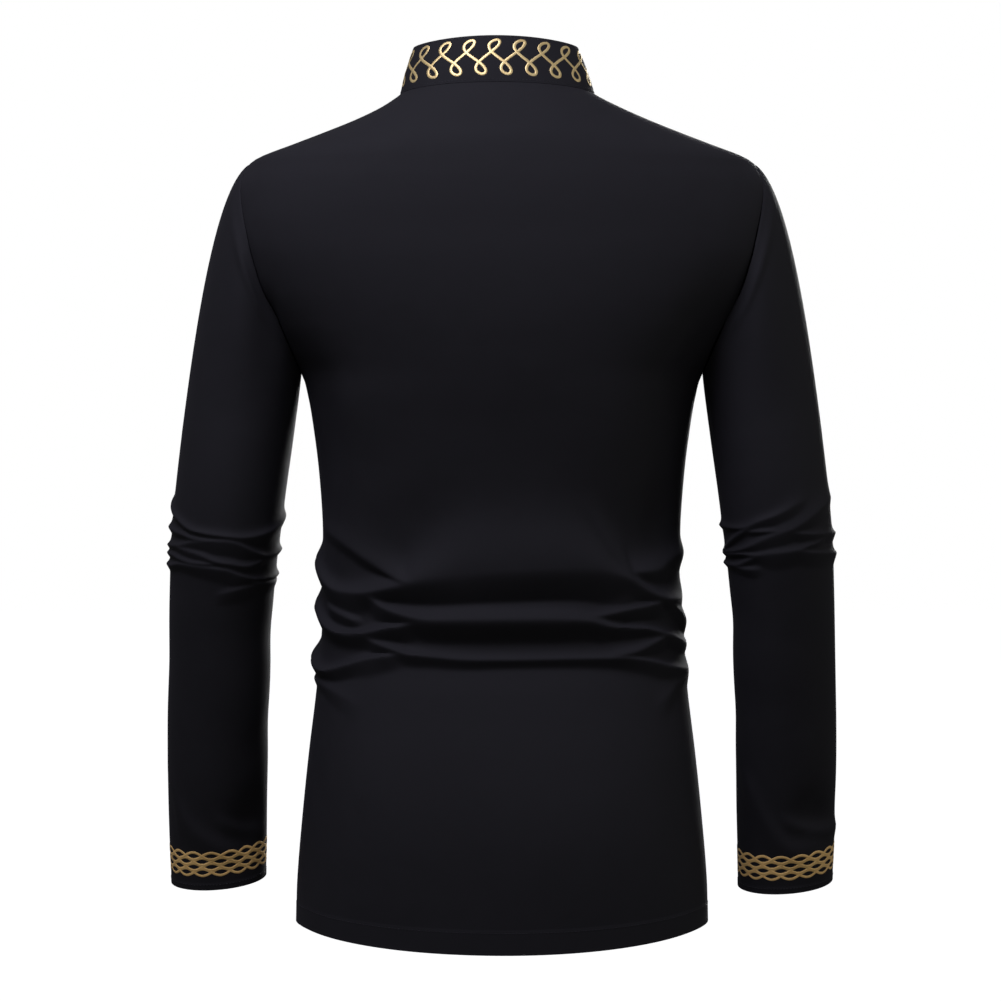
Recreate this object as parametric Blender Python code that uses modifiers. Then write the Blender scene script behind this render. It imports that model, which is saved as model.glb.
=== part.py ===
"""Dashiki dress shirt: a man's long-sleeved tunic with a stand collar, filled out as it hangs when worn.

Metres, +Z up. The wearer faces -Y, and the wearer's left is +X. The origin is the centre of the neck
opening, level with the points where the shoulder seams meet the collar. Every cut piece is one cloth
wall: an open surface lofted between rings, thickened towards the wearer with Solidify.
"""

import math
from collections import namedtuple

import bmesh
import bpy
from mathutils import Vector

# Cloth and seams
CLOTH = 0.0012
COLLAR_CLOTH = 0.0018
SEAM_GAP = 0.0003
LAP_GAP = 0.0005

# Armhole: a slanted oval between the underarm point and the shoulder point
UNDERARM_LEVEL = -0.244
SHOULDER_LEVEL = -0.057
ARMHOLE_BITE = 30.0
ARMHOLE_STEPS = 10

# Front closure: the left front laps over the right front by the width of the placket
PLACKET_WIDTH = 0.032
LAP_BLEND = 0.045
PLACKET_CLOTH = 0.0010
COLLAR_CLEARANCE = 0.001

# Stand collar. It clears the neck seam by one and a half seam gaps.
COLLAR_SEAM_CLEARANCE = 1.5 * SEAM_GAP
COLLAR_ROWS = 3
COLLAR_LAP_BLEND = 30.0
COLLAR_SIDE_HEIGHT = 0.0425
COLLAR_BACK_HEIGHT = 0.0430
COLLAR_FRONT_HEIGHT = 0.0400
COLLAR_TOP_CENTRE = 0.0055
COLLAR_TOP_HALF_WIDTH = 0.0735
COLLAR_TOP_BACK = 0.0450
COLLAR_TOP_FRONT = 0.0560

# Buttons: a flat foot, a bevel up to the full radius, a rolled rim and a dished face
BUTTON_RADIUS = 0.0057
BUTTON_THICKNESS = 0.0026
BUTTON_FOOT_RADIUS = 0.0049
BUTTON_RIM_LOW = 0.0009
BUTTON_RIM_HIGH = 0.0018
BUTTON_RIM_RADIUS = 0.0050
BUTTON_DISH_RADIUS = 0.0038
BUTTON_DISH_DEPTH = 0.0006
BUTTON_STEPS = 16
BUTTON_COUNT = 7
FIRST_BUTTON_LEVEL = -0.058
BUTTON_SPACING = 0.088
COLLAR_BUTTON_SHARE = 0.5
COLLAR_BUTTON_SPAN = 0.3

# Body mesh
BACK_COLUMNS = 18
FRONT_COLUMNS = 8
EDGE_COLUMN = 2.5
SECTION_SQUARENESS = 0.025

# Steps for finding the direction square to the cloth and the run of the sleeve
LEVEL_STEP = 0.001
TURN_STEP = 0.5
ARM_STEP = 0.004

BodyRing = namedtuple("BodyRing", "level centre_x half_width back front back_lift front_lift")

# A ring's level is its height at the side seam. A lift is how far its middle stands above that.
BODY_RINGS = [
    BodyRing(-0.7310, 0.000, 0.1840, 0.121, 0.114, -0.017, -0.016),
    BodyRing(-0.6940, 0.000, 0.1830, 0.121, 0.114, -0.011, -0.010),
    BodyRing(-0.6400, 0.000, 0.1785, 0.119, 0.114, -0.003, -0.003),
    BodyRing(-0.5800, 0.000, 0.1725, 0.112, 0.113, 0.000, 0.000),
    BodyRing(-0.5300, 0.000, 0.1665, 0.101, 0.112, 0.000, 0.000),
    BodyRing(-0.4800, 0.000, 0.1615, 0.089, 0.111, 0.000, 0.000),
    BodyRing(-0.4300, 0.000, 0.1590, 0.083, 0.111, 0.000, 0.000),
    BodyRing(-0.3800, 0.000, 0.1600, 0.087, 0.113, 0.000, 0.000),
    BodyRing(-0.3300, 0.000, 0.1635, 0.095, 0.117, 0.000, 0.000),
    BodyRing(-0.2900, 0.000, 0.1685, 0.102, 0.120, 0.000, 0.000),
    BodyRing(-0.2640, 0.000, 0.1730, 0.107, 0.121, 0.000, 0.000),
    BodyRing(-0.2440, 0.000, 0.1790, 0.110, 0.121, 0.000, -0.002),
    BodyRing(-0.2240, 0.000, 0.1950, 0.112, 0.121, 0.000, -0.004),
    BodyRing(-0.2020, 0.000, 0.2140, 0.1135, 0.119, 0.000, -0.007),
    BodyRing(-0.1750, 0.000, 0.2330, 0.114, 0.115, 0.000, -0.010),
    BodyRing(-0.1460, 0.000, 0.2440, 0.113, 0.110, 0.000, -0.014),
    BodyRing(-0.1190, 0.000, 0.2475, 0.110, 0.104, 0.000, -0.019),
    BodyRing(-0.0970, 0.000, 0.2465, 0.107, 0.098, 0.000, -0.024),
    BodyRing(-0.0780, 0.000, 0.2410, 0.103, 0.092, 0.001, -0.030),
    BodyRing(-0.0640, 0.000, 0.2310, 0.099, 0.087, 0.001, -0.035),
    BodyRing(-0.0530, 0.000, 0.2190, 0.096, 0.084, 0.002, -0.040),
    BodyRing(-0.0411, 0.000, 0.1885, 0.091, 0.079, 0.002, -0.045),
    BodyRing(-0.0304, 0.000, 0.1605, 0.085, 0.073, 0.002, -0.050),
    BodyRing(-0.0196, 0.000, 0.1335, 0.078, 0.067, 0.003, -0.055),
    BodyRing(-0.0089, 0.001, 0.1100, 0.070, 0.062, 0.005, -0.061),
    BodyRing(0.0000, 0.003, 0.0940, 0.063, 0.058, 0.005, -0.066),
    BodyRing(0.0045, 0.004, 0.0870, 0.060, 0.056, 0.005, -0.068),
]

# Levels of the rows of points, from the hem up to the armhole and from the armhole up to the neck
LOWER_LEVELS = [-0.731, -0.712, -0.672, -0.626, -0.580, -0.552, -0.533]
FOLD_LEVELS = [-0.522 + 0.0088 * step for step in range(15)]
CHEST_LEVELS = [-0.384, -0.354, -0.318, -0.285, -0.262]
SHOULDER_LEVELS = [-0.047, -0.037, -0.026, -0.015, -0.005, 0.0045]

Fold = namedtuple("Fold", "turn_from turn_to level_from level_mid level_to rise above below")

# The waist's folds. A turn is in degrees from the centre back: 90 at the wearer's left side seam,
# -90 at the right one. Each crest is a curve through three levels, and rises by that much.
BACK_FOLDS = [
    Fold(42, -50, -0.420, -0.4185, -0.419, 0.0065, 0.040, 0.012),
    Fold(34, -40, -0.458, -0.4595, -0.459, 0.0085, 0.013, 0.010),
    Fold(38, -44, -0.493, -0.4955, -0.494, 0.0070, 0.013, 0.008),
    Fold(76, 30, -0.385, -0.404, -0.426, 0.0045, 0.010, 0.008),
    Fold(100, 34, -0.385, -0.433, -0.432, 0.0065, 0.012, 0.009),
    Fold(56, 28, -0.438, -0.449, -0.464, 0.0050, 0.008, 0.008),
    Fold(100, 34, -0.440, -0.472, -0.496, 0.0060, 0.011, 0.009),
    Fold(58, 28, -0.480, -0.473, -0.466, 0.0045, 0.008, 0.008),
    Fold(104, 36, -0.490, -0.504, -0.494, 0.0055, 0.010, 0.009),
    Fold(-28, -68, -0.388, -0.420, -0.450, 0.0050, 0.014, 0.009),
    Fold(-44, -104, -0.425, -0.411, -0.395, 0.0055, 0.011, 0.009),
    Fold(-44, -104, -0.430, -0.442, -0.434, 0.0045, 0.009, 0.008),
    Fold(-52, -108, -0.446, -0.458, -0.476, 0.0055, 0.009, 0.009),
    Fold(-28, -100, -0.467, -0.472, -0.492, 0.0045, 0.008, 0.008),
    Fold(-34, -72, -0.498, -0.487, -0.474, 0.0045, 0.008, 0.008),
    Fold(-40, -104, -0.497, -0.502, -0.504, 0.0055, 0.010, 0.008),
]
FRONT_FOLDS = [
    Fold(84, 158, -0.403, -0.417, -0.430, 0.0055, 0.014, 0.010),
    Fold(86, 172, -0.449, -0.463, -0.468, 0.0060, 0.013, 0.010),
    Fold(84, 164, -0.500, -0.505, -0.496, 0.0050, 0.012, 0.009),
    Fold(-84, -160, -0.402, -0.420, -0.427, 0.0055, 0.014, 0.010),
    Fold(-86, -174, -0.470, -0.459, -0.465, 0.0060, 0.013, 0.010),
    Fold(-84, -162, -0.501, -0.499, -0.504, 0.0050, 0.012, 0.009),
]
FOLD_MERGE = 4.0
FOLD_FADE = 0.22

ArmRing = namedtuple("ArmRing", "level centre_x centre_y half_width half_depth")

# The sleeve's centre line and its girth, from below the armhole down to the wrist
ARM_RINGS = [
    ArmRing(-0.300, 0.2360, 0.001, 0.0495, 0.0600),
    ArmRing(-0.340, 0.2410, 0.003, 0.0490, 0.0580),
    ArmRing(-0.375, 0.2450, 0.003, 0.0485, 0.0555),
    ArmRing(-0.405, 0.2480, 0.001, 0.0475, 0.0530),
    ArmRing(-0.440, 0.2505, -0.004, 0.0465, 0.0505),
    ArmRing(-0.480, 0.2525, -0.011, 0.0460, 0.0480),
    ArmRing(-0.560, 0.2555, -0.025, 0.0455, 0.0440),
    ArmRing(-0.640, 0.2570, -0.039, 0.0443, 0.0395),
    ArmRing(-0.705, 0.2570, -0.050, 0.0428, 0.0350),
]
CAP_ROWS = 7

# The sleeve head leaves the armhole in these directions, and as straight as they are long. It arrives at
# the sleeve's first ring along the arm. At the underarm it stands clear of the seam by more gaps.
CAP_UNDERARM_LEAVES = Vector((0.08, 0.00, -0.94))
CAP_SIDE_LEAVES = Vector((0.265, 0.18, -0.94))
CAP_SHOULDER_LEAVES = Vector((0.39, 0.00, -0.225))
CAP_ARRIVAL = 0.9
CAP_UNDERARM_CLEAR = 1.5

# Rows of points down the arm
UPPER_ARM_LEVELS = [-0.300, -0.332, -0.356]
ELBOW_LEVELS = [-0.364 - 0.0052 * step for step in range(16)]
FOREARM_LEVELS = [-0.452, -0.480, -0.520, -0.565, -0.610, -0.655, -0.705]

SleeveFold = namedtuple("SleeveFold", "turn_from turn_to level_from level_mid level_to rise width")

# The elbows' folds. A turn is in degrees round the arm: 0 towards the body, 90 at the back,
# 180 at the outer side and 270 at the front.
LEFT_SLEEVE_FOLDS = [
    SleeveFold(188, -14, -0.363, -0.393, -0.382, 0.0038, 0.0065),
    SleeveFold(74, -24, -0.393, -0.408, -0.402, 0.0036, 0.0060),
    SleeveFold(208, 24, -0.402, -0.408, -0.415, 0.0038, 0.0060),
    SleeveFold(116, -20, -0.417, -0.428, -0.426, 0.0036, 0.0060),
    SleeveFold(210, 100, -0.424, -0.423, -0.418, 0.0030, 0.0060),
    SleeveFold(184, 352, -0.380, -0.396, -0.386, 0.0036, 0.0070),
    SleeveFold(190, 346, -0.412, -0.420, -0.408, 0.0036, 0.0070),
]
RIGHT_SLEEVE_FOLDS = [
    SleeveFold(14, 120, -0.386, -0.381, -0.366, 0.0032, 0.0060),
    SleeveFold(-6, 150, -0.405, -0.392, -0.368, 0.0040, 0.0062),
    SleeveFold(104, 205, -0.385, -0.389, -0.386, 0.0036, 0.0060),
    SleeveFold(-12, 138, -0.406, -0.408, -0.396, 0.0038, 0.0058),
    SleeveFold(102, 210, -0.403, -0.407, -0.407, 0.0038, 0.0058),
    SleeveFold(-26, 74, -0.418, -0.418, -0.408, 0.0034, 0.0055),
    SleeveFold(184, 352, -0.384, -0.398, -0.384, 0.0036, 0.0070),
    SleeveFold(190, 346, -0.408, -0.420, -0.412, 0.0036, 0.0070),
]

BLACK_COTTON = (0.012, 0.012, 0.015, 1.0)
BLACK_RESIN = (0.010, 0.010, 0.011, 1.0)


def smooth_row(table, level):
    """The table's row at a level, every column on a smooth curve through the rows around it."""
    rows = sorted(table, key=lambda row: row.level)
    level = min(max(level, rows[0].level), rows[-1].level)
    low = max(i for i, row in enumerate(rows[:-1]) if row.level <= level)
    before, start, end, after = (rows[min(max(i, 0), len(rows) - 1)] for i in range(low - 1, low + 3))
    span = end.level - start.level
    t = (level - start.level) / span
    values = []
    for column, (a, b, c, d) in enumerate(zip(before, start, end, after)):
        slope_start = (c - a) / max(end.level - before.level, span)
        slope_end = (d - b) / max(after.level - start.level, span)
        values.append(
            (2 * t**3 - 3 * t**2 + 1) * b
            + (t**3 - 2 * t**2 + t) * span * slope_start
            + (3 * t**2 - 2 * t**3) * c
            + (t**3 - t**2) * span * slope_end
        )
    values[0] = level
    return type(start)(*values)


def smooth_step(t):
    t = min(max(t, 0.0), 1.0)
    return t * t * (3 - 2 * t)


def crest_level(fold, share):
    """The level of a fold's crest at a share of its run: a curve through its three levels."""
    return (
        fold.level_from * (1 - share) * (1 - 2 * share)
        + fold.level_mid * 4 * share * (1 - share)
        + fold.level_to * share * (2 * share - 1)
    )


def fold_height(fold, turn, level, above, below):
    """How far one fold lifts the cloth at a point. It fades at both ends of its run."""
    share = (turn - fold.turn_from) / (fold.turn_to - fold.turn_from)
    if not 0 < share < 1:
        return 0.0
    off = level - crest_level(fold, share)
    width = above if off > 0 else below
    fade = smooth_step(share / FOLD_FADE) * smooth_step((1 - share) / FOLD_FADE)
    return fold.rise * fade * math.exp(-((off / width) ** 2))


def merged(heights):
    """Folds that meet join into one crest instead of adding up."""
    return sum(height**FOLD_MERGE for height in heights) ** (1 / FOLD_MERGE)


def body_fold_height(level, turn):
    return merged(
        fold_height(fold, turn + whole_turn, level, fold.above, fold.below)
        for fold in BACK_FOLDS + FRONT_FOLDS
        for whole_turn in (-360, 0, 360)
    )


def body_surface(level, turn):
    """A point of the shirt's body at a level and a turn from the centre back."""
    ring = smooth_row(BODY_RINGS, level)
    angle = math.radians(turn)
    across = (math.sin(angle) + SECTION_SQUARENESS * math.sin(3 * angle)) / (1 - SECTION_SQUARENESS)
    along = (math.cos(angle) - SECTION_SQUARENESS * math.cos(3 * angle)) / (1 - SECTION_SQUARENESS)
    at_back = math.cos(angle) > 0
    depth = ring.back if at_back else ring.front
    lift = (ring.back_lift if at_back else ring.front_lift) * math.cos(angle) ** 2
    point = Vector((ring.centre_x + ring.half_width * across, depth * along, level + lift))
    outward = Vector((across / ring.half_width, along / depth, 0.0)).normalized()
    return point + outward * body_fold_height(level, turn)


def body_normal(level, turn):
    """The direction square to the cloth and away from the wearer."""
    upward = body_surface(level + LEVEL_STEP, turn) - body_surface(level - LEVEL_STEP, turn)
    onward = body_surface(level, turn + TURN_STEP) - body_surface(level, turn - TURN_STEP)
    return upward.cross(onward).normalized()


def body_point(level, turn, out=0.0):
    """A point of the body, moved out square to the cloth."""
    point = body_surface(level, turn)
    return point + body_normal(level, turn) * out if out else point


def seam_half_turn(level):
    """Half a seam's gap at the side of a ring, as a turn in degrees."""
    return math.degrees(SEAM_GAP / 2 / smooth_row(BODY_RINGS, level).back)


def armhole_level(rise):
    """The level on the armhole for a rise from 0 at the underarm to 180 degrees at the shoulder."""
    share = (1 - math.cos(math.radians(rise))) / 2
    return UNDERARM_LEVEL + (SHOULDER_LEVEL - UNDERARM_LEVEL) * share


def armhole_bite(rise):
    """How far the armhole cuts into the back or the front there, as a turn in degrees."""
    return ARMHOLE_BITE * math.sin(math.radians(rise))


def body_rows():
    """Each row of the body's points from hem to neck: its level and the armhole's bite there."""
    rises = [180 * step / ARMHOLE_STEPS for step in range(ARMHOLE_STEPS + 1)]
    rows = [(level, 0.0) for level in LOWER_LEVELS + FOLD_LEVELS + CHEST_LEVELS]
    rows += [(armhole_level(rise), armhole_bite(rise)) for rise in rises]
    rows += [(level, 0.0) for level in SHOULDER_LEVELS]
    return rows


def wall(name, grid, thickness, material, closed_round=False):
    """A cloth wall: a surface through rows of points from low to high, thickened towards the wearer."""
    sheet = bmesh.new()
    vertices = [[sheet.verts.new(point) for point in row] for row in grid]
    for lower, upper in zip(vertices, vertices[1:]):
        columns = range(len(lower)) if closed_round else range(len(lower) - 1)
        for column in columns:
            after = (column + 1) % len(lower)
            sheet.faces.new((lower[column], upper[column], upper[after], lower[after]))
    mesh = bpy.data.meshes.new(name)
    sheet.to_mesh(mesh)
    sheet.free()
    mesh.shade_smooth()
    mesh.materials.append(material)
    piece = bpy.data.objects.new(name, mesh)
    garment.objects.link(piece)
    solidify = piece.modifiers.new("cloth thickness", "SOLIDIFY")
    solidify.thickness = thickness
    solidify.offset = -1.0
    solidify.use_quality_normals = True
    return piece


def back_turns(level, bite):
    """The turns of a row of points across the back, from the right seam or armhole to the left one.

    The armhole's bite draws the outer columns in and leaves the middle ones straight.
    """
    edge = 90 - seam_half_turn(level)
    inner = edge - EDGE_COLUMN
    shares = [2 * column / BACK_COLUMNS - 1 for column in range(BACK_COLUMNS + 1)]
    across = [inner * share - bite * share * abs(share) for share in shares]
    return [bite - edge] + across + [edge - bite]


def make_back():
    """The back panel, cut in one from hem to collar."""
    grid = [[body_point(level, turn) for turn in back_turns(level, bite)] for level, bite in body_rows()]
    return wall("back", grid, CLOTH, black_cotton)


def lap_turn(level):
    """The turn from the centre front to the lap's edge, which is half a placket off centre."""
    ring = smooth_row(BODY_RINGS, level)
    return math.degrees(math.asin(PLACKET_WIDTH / 2 / ring.half_width))


def front_point(side, level, turn, out=0.0):
    """A point of a front panel. Side is 1 for the left front, and -1 for the right one, which lies under."""
    sunk = 0.0
    if side < 0:
        ring = smooth_row(BODY_RINGS, level)
        off_centre = ring.half_width * math.sin(math.radians(180 - turn))
        past_lap = (off_centre - PLACKET_WIDTH / 2) / LAP_BLEND
        sunk = (CLOTH + LAP_GAP) * (1 - smooth_step(past_lap))
    return body_point(level, side * turn, out - sunk)


def front_turns(level, bite):
    """The turns of a row of points across a front, from its seam or armhole to the far edge of the lap."""
    edge = 90 + seam_half_turn(level)
    inner = edge + EDGE_COLUMN
    lap_start = 180 - lap_turn(level)
    shares = [column / FRONT_COLUMNS for column in range(FRONT_COLUMNS + 1)]
    across = [inner + (lap_start - inner) * share + bite * (1 - share) ** 2 for share in shares]
    return [edge + bite] + across + [180, 180 + lap_turn(level)]


def make_front(name, side):
    """A front panel, from its side seam and armhole to the far edge of the lap."""
    grid = []
    for level, bite in body_rows():
        row = [front_point(side, level, turn) for turn in front_turns(level, bite)]
        grid.append(row if side > 0 else row[::-1])
    return wall(name, grid, CLOTH, black_cotton)


def make_placket():
    """The band sewn on the left front's edge, from its points moved out."""
    out = SEAM_GAP + PLACKET_CLOTH
    grid = []
    for level, _ in body_rows()[:-1] + [(SHOULDER_LEVELS[-1] - COLLAR_CLEARANCE, 0.0)]:
        half = lap_turn(level)
        grid.append([front_point(1, level, 180 + half * share, out) for share in (-1.0, 0.0, 1.0)])
    return wall("placket", grid, PLACKET_CLOTH, black_cotton)


def collar_point(turn, share, sunk=0.0):
    """A point of the collar: share 0 on the neck seam, 1 on the top edge."""
    base = body_point(SHOULDER_LEVELS[-1], turn)
    angle = math.radians(turn)
    depth = COLLAR_TOP_BACK if math.cos(angle) > 0 else COLLAR_TOP_FRONT
    middle_height = COLLAR_BACK_HEIGHT if math.cos(angle) > 0 else COLLAR_FRONT_HEIGHT
    height = COLLAR_SIDE_HEIGHT + (middle_height - COLLAR_SIDE_HEIGHT) * math.cos(angle) ** 2
    across = COLLAR_TOP_CENTRE + COLLAR_TOP_HALF_WIDTH * math.sin(angle)
    top = Vector((across, depth * math.cos(angle), base.z + height))
    point = base.lerp(top, share)
    point.z += COLLAR_SEAM_CLEARANCE * (1 - share)
    inward = -Vector((math.sin(angle), math.cos(angle), 0.0))
    return point + inward * sunk


def neck_turns():
    """The turns of the points on the neck seam, from the right front's edge round the back to the left's."""
    left = front_turns(SHOULDER_LEVELS[-1], 0)
    return [-turn for turn in reversed(left)] + back_turns(SHOULDER_LEVELS[-1], 0) + left


def make_collar():
    """The stand collar: one strip round the neck whose left end buttons over its right end."""
    lap = lap_turn(SHOULDER_LEVELS[-1])
    grid = []
    for row in range(COLLAR_ROWS + 1):
        points = []
        for turn in neck_turns():
            past_lap = (turn + 180 - lap) / COLLAR_LAP_BLEND
            sunk = (COLLAR_CLOTH + LAP_GAP) * (1 - smooth_step(past_lap))
            points.append(collar_point(turn, row / COLLAR_ROWS, sunk))
        grid.append(points)
    return wall("collar", grid, COLLAR_CLOTH, black_cotton)


def sleeve_fold_height(folds, level, turn):
    return merged(
        fold_height(fold, turn + whole_turn, level, fold.width, fold.width)
        for fold in folds
        for whole_turn in (-360, 0, 360)
    )


def arm_direction(level):
    """The sleeve's centre line at a level, pointing down to the wrist."""
    upper = smooth_row(ARM_RINGS, min(level + ARM_STEP, ARM_RINGS[0].level))
    lower = smooth_row(ARM_RINGS, max(level - ARM_STEP, ARM_RINGS[-1].level))
    top = Vector((upper.centre_x, upper.centre_y, upper.level))
    bottom = Vector((lower.centre_x, lower.centre_y, lower.level))
    return (bottom - top).normalized()


def arm_point(level, turn, folds):
    """A point of the left sleeve below the armhole, on a ring square to the arm."""
    ring = smooth_row(ARM_RINGS, level)
    down = arm_direction(level)
    to_back = Vector((0.0, 1.0, 0.0))
    to_back = (to_back - down * to_back.dot(down)).normalized()
    to_side = down.cross(to_back)
    angle = math.radians(turn)
    centre = Vector((ring.centre_x, ring.centre_y, level))
    reach = ring.half_width * -math.cos(angle) * to_side + ring.half_depth * math.sin(angle) * to_back
    outward = -math.cos(angle) / ring.half_width * to_side + math.sin(angle) / ring.half_depth * to_back
    return centre + reach + outward.normalized() * sleeve_fold_height(folds, level, turn)


def armhole_place(turn):
    """The level and the turn round the body of a point of the left armhole, from its turn round the arm."""
    rise = turn if turn <= 180 else 360 - turn
    return armhole_level(rise), 90 - armhole_bite(rise) if turn <= 180 else 90 + armhole_bite(rise)


def armhole_point(turn):
    return body_surface(*armhole_place(turn % 360))


def cap_point(turn, share):
    """A point of the sleeve head, on a curve from the armhole down to the sleeve's first ring."""
    angle = math.radians(turn)
    low = max(0.0, math.cos(angle)) ** 2
    high = max(0.0, -math.cos(angle)) ** 2
    side = math.sin(angle) ** 2
    to_side = Vector((CAP_SIDE_LEAVES.x, CAP_SIDE_LEAVES.y * math.sin(angle), CAP_SIDE_LEAVES.z))
    leaves = CAP_UNDERARM_LEAVES * low + to_side * side + CAP_SHOULDER_LEAVES * high
    along_seam = armhole_point(turn + 1) - armhole_point(turn - 1)
    across_seam = body_normal(*armhole_place(turn)).cross(along_seam).normalized()
    apart = across_seam + Vector((CAP_UNDERARM_CLEAR * low, 0.0, 0.0))
    start = armhole_point(turn) + apart * SEAM_GAP
    end = arm_point(ARM_RINGS[0].level, turn, [])
    length = (end - start).length
    arrives = arm_direction(ARM_RINGS[0].level) * CAP_ARRIVAL
    t = share
    return (
        start * (2 * t**3 - 3 * t**2 + 1)
        + leaves * length * (t**3 - 2 * t**2 + t)
        + end * (3 * t**2 - 2 * t**3)
        + arrives * length * (t**3 - t**2)
    )


def make_sleeve(name, side, folds):
    """A one-piece sleeve, from the armhole to the wrist. The right one is the left one's mirror image."""
    turns = [360 * step / (2 * ARMHOLE_STEPS) for step in range(2 * ARMHOLE_STEPS)]
    grid = [[cap_point(turn, row / CAP_ROWS) for turn in turns] for row in range(CAP_ROWS)]
    levels = UPPER_ARM_LEVELS + ELBOW_LEVELS + FOREARM_LEVELS
    grid += [[arm_point(level, turn, folds) for turn in turns] for level in levels]
    if side < 0:
        grid = [[Vector((-point.x, point.y, point.z)) for point in row][::-1] for row in grid]
    return wall(name, grid[::-1], CLOTH, black_cotton, closed_round=True)


def make_button(name, centre, facing):
    """A round button with a dished face, turned about its own axis and laid on the placket."""
    profile = [
        (0.0, 0.0),
        (BUTTON_FOOT_RADIUS, 0.0),
        (BUTTON_RADIUS, BUTTON_RIM_LOW),
        (BUTTON_RADIUS, BUTTON_RIM_HIGH),
        (BUTTON_RIM_RADIUS, BUTTON_THICKNESS),
        (BUTTON_DISH_RADIUS, BUTTON_THICKNESS - BUTTON_DISH_DEPTH),
        (0.0, BUTTON_THICKNESS - BUTTON_DISH_DEPTH),
    ]
    outline = bpy.data.meshes.new(name)
    points = [(radius, 0.0, height) for radius, height in reversed(profile)]
    outline.from_pydata(points, [(i, i + 1) for i in range(len(points) - 1)], [])
    outline.materials.append(black_resin)
    button = bpy.data.objects.new(name, outline)
    garment.objects.link(button)
    turned = button.modifiers.new("turned", "SCREW")
    turned.steps = BUTTON_STEPS
    turned.render_steps = BUTTON_STEPS
    turned.use_merge_vertices = True
    turned.merge_threshold = 0.00005
    button.location = centre
    button.rotation_euler = facing.to_track_quat("Z", "Y").to_euler()
    return button


def make_buttons():
    """The front buttons on the placket, and one on the collar's end."""
    on_placket = 2 * SEAM_GAP + PLACKET_CLOTH
    for number in range(BUTTON_COUNT):
        level = FIRST_BUTTON_LEVEL - BUTTON_SPACING * number
        centre = front_point(1, level, 180, on_placket)
        above = front_point(1, level + BUTTON_RADIUS, 180, on_placket)
        below = front_point(1, level - BUTTON_RADIUS, 180, on_placket)
        facing = Vector((1.0, 0.0, 0.0)).cross(above - below)
        clear = max(0.0, (centre - (above + below) / 2).dot(facing.normalized()))
        make_button(f"button_{number + 1}", centre + facing.normalized() * (SEAM_GAP - clear), facing)
    centre = collar_point(180, COLLAR_BUTTON_SHARE)
    above = collar_point(180, COLLAR_BUTTON_SHARE + COLLAR_BUTTON_SPAN)
    below = collar_point(180, COLLAR_BUTTON_SHARE - COLLAR_BUTTON_SPAN)
    facing = Vector((1.0, 0.0, 0.0)).cross(above - below)
    make_button("button_collar", centre + facing.normalized() * 2 * SEAM_GAP, facing)


def material(name, colour, roughness):
    made = bpy.data.materials.new(name)
    made.use_nodes = True
    shader = made.node_tree.nodes["Principled BSDF"]
    shader.inputs["Base Color"].default_value = colour
    shader.inputs["Roughness"].default_value = roughness
    shader.inputs["Metallic"].default_value = 0.0
    return made


for old in list(bpy.data.objects):
    bpy.data.objects.remove(old)
garment = bpy.data.collections.new("dashiki dress shirt")
bpy.context.scene.collection.children.link(garment)
black_cotton = material("black cotton", BLACK_COTTON, 0.75)
black_resin = material("black resin", BLACK_RESIN, 0.35)

make_back()
make_front("front_left", 1)
make_front("front_right", -1)
make_placket()
make_collar()
make_sleeve("sleeve_left", 1, LEFT_SLEEVE_FOLDS)
make_sleeve("sleeve_right", -1, RIGHT_SLEEVE_FOLDS)
make_buttons()
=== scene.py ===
"""The looks of a man's black dashiki dress shirt: cloth, folds, gold print, sewing and buttons."""

import math
from collections import namedtuple

import bpy
import numpy as np
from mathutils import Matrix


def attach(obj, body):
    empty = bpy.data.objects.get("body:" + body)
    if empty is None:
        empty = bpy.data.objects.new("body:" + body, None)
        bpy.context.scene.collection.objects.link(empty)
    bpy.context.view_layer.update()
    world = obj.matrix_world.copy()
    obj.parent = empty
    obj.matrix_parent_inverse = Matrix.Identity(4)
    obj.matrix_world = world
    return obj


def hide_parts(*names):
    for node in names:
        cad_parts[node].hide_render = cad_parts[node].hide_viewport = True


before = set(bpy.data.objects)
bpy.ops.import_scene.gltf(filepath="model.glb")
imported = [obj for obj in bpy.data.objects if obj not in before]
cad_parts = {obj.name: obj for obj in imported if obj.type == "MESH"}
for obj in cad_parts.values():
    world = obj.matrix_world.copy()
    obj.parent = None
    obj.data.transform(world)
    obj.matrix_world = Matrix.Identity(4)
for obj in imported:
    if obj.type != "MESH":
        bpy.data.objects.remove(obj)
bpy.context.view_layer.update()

# Back
# The back is one piece of black cotton sateen, cut from collar to hem with no yoke and no centre seam.
# It hangs from the shoulders and bunches in the small of the back. Its hem is turned up once and sewn.


def named_rows(columns, *rows, defaults=()):
    """A short table: rows of values under named columns."""
    row_kind = namedtuple("Row", columns, defaults=defaults)
    return [row_kind(*row) for row in rows]


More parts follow.
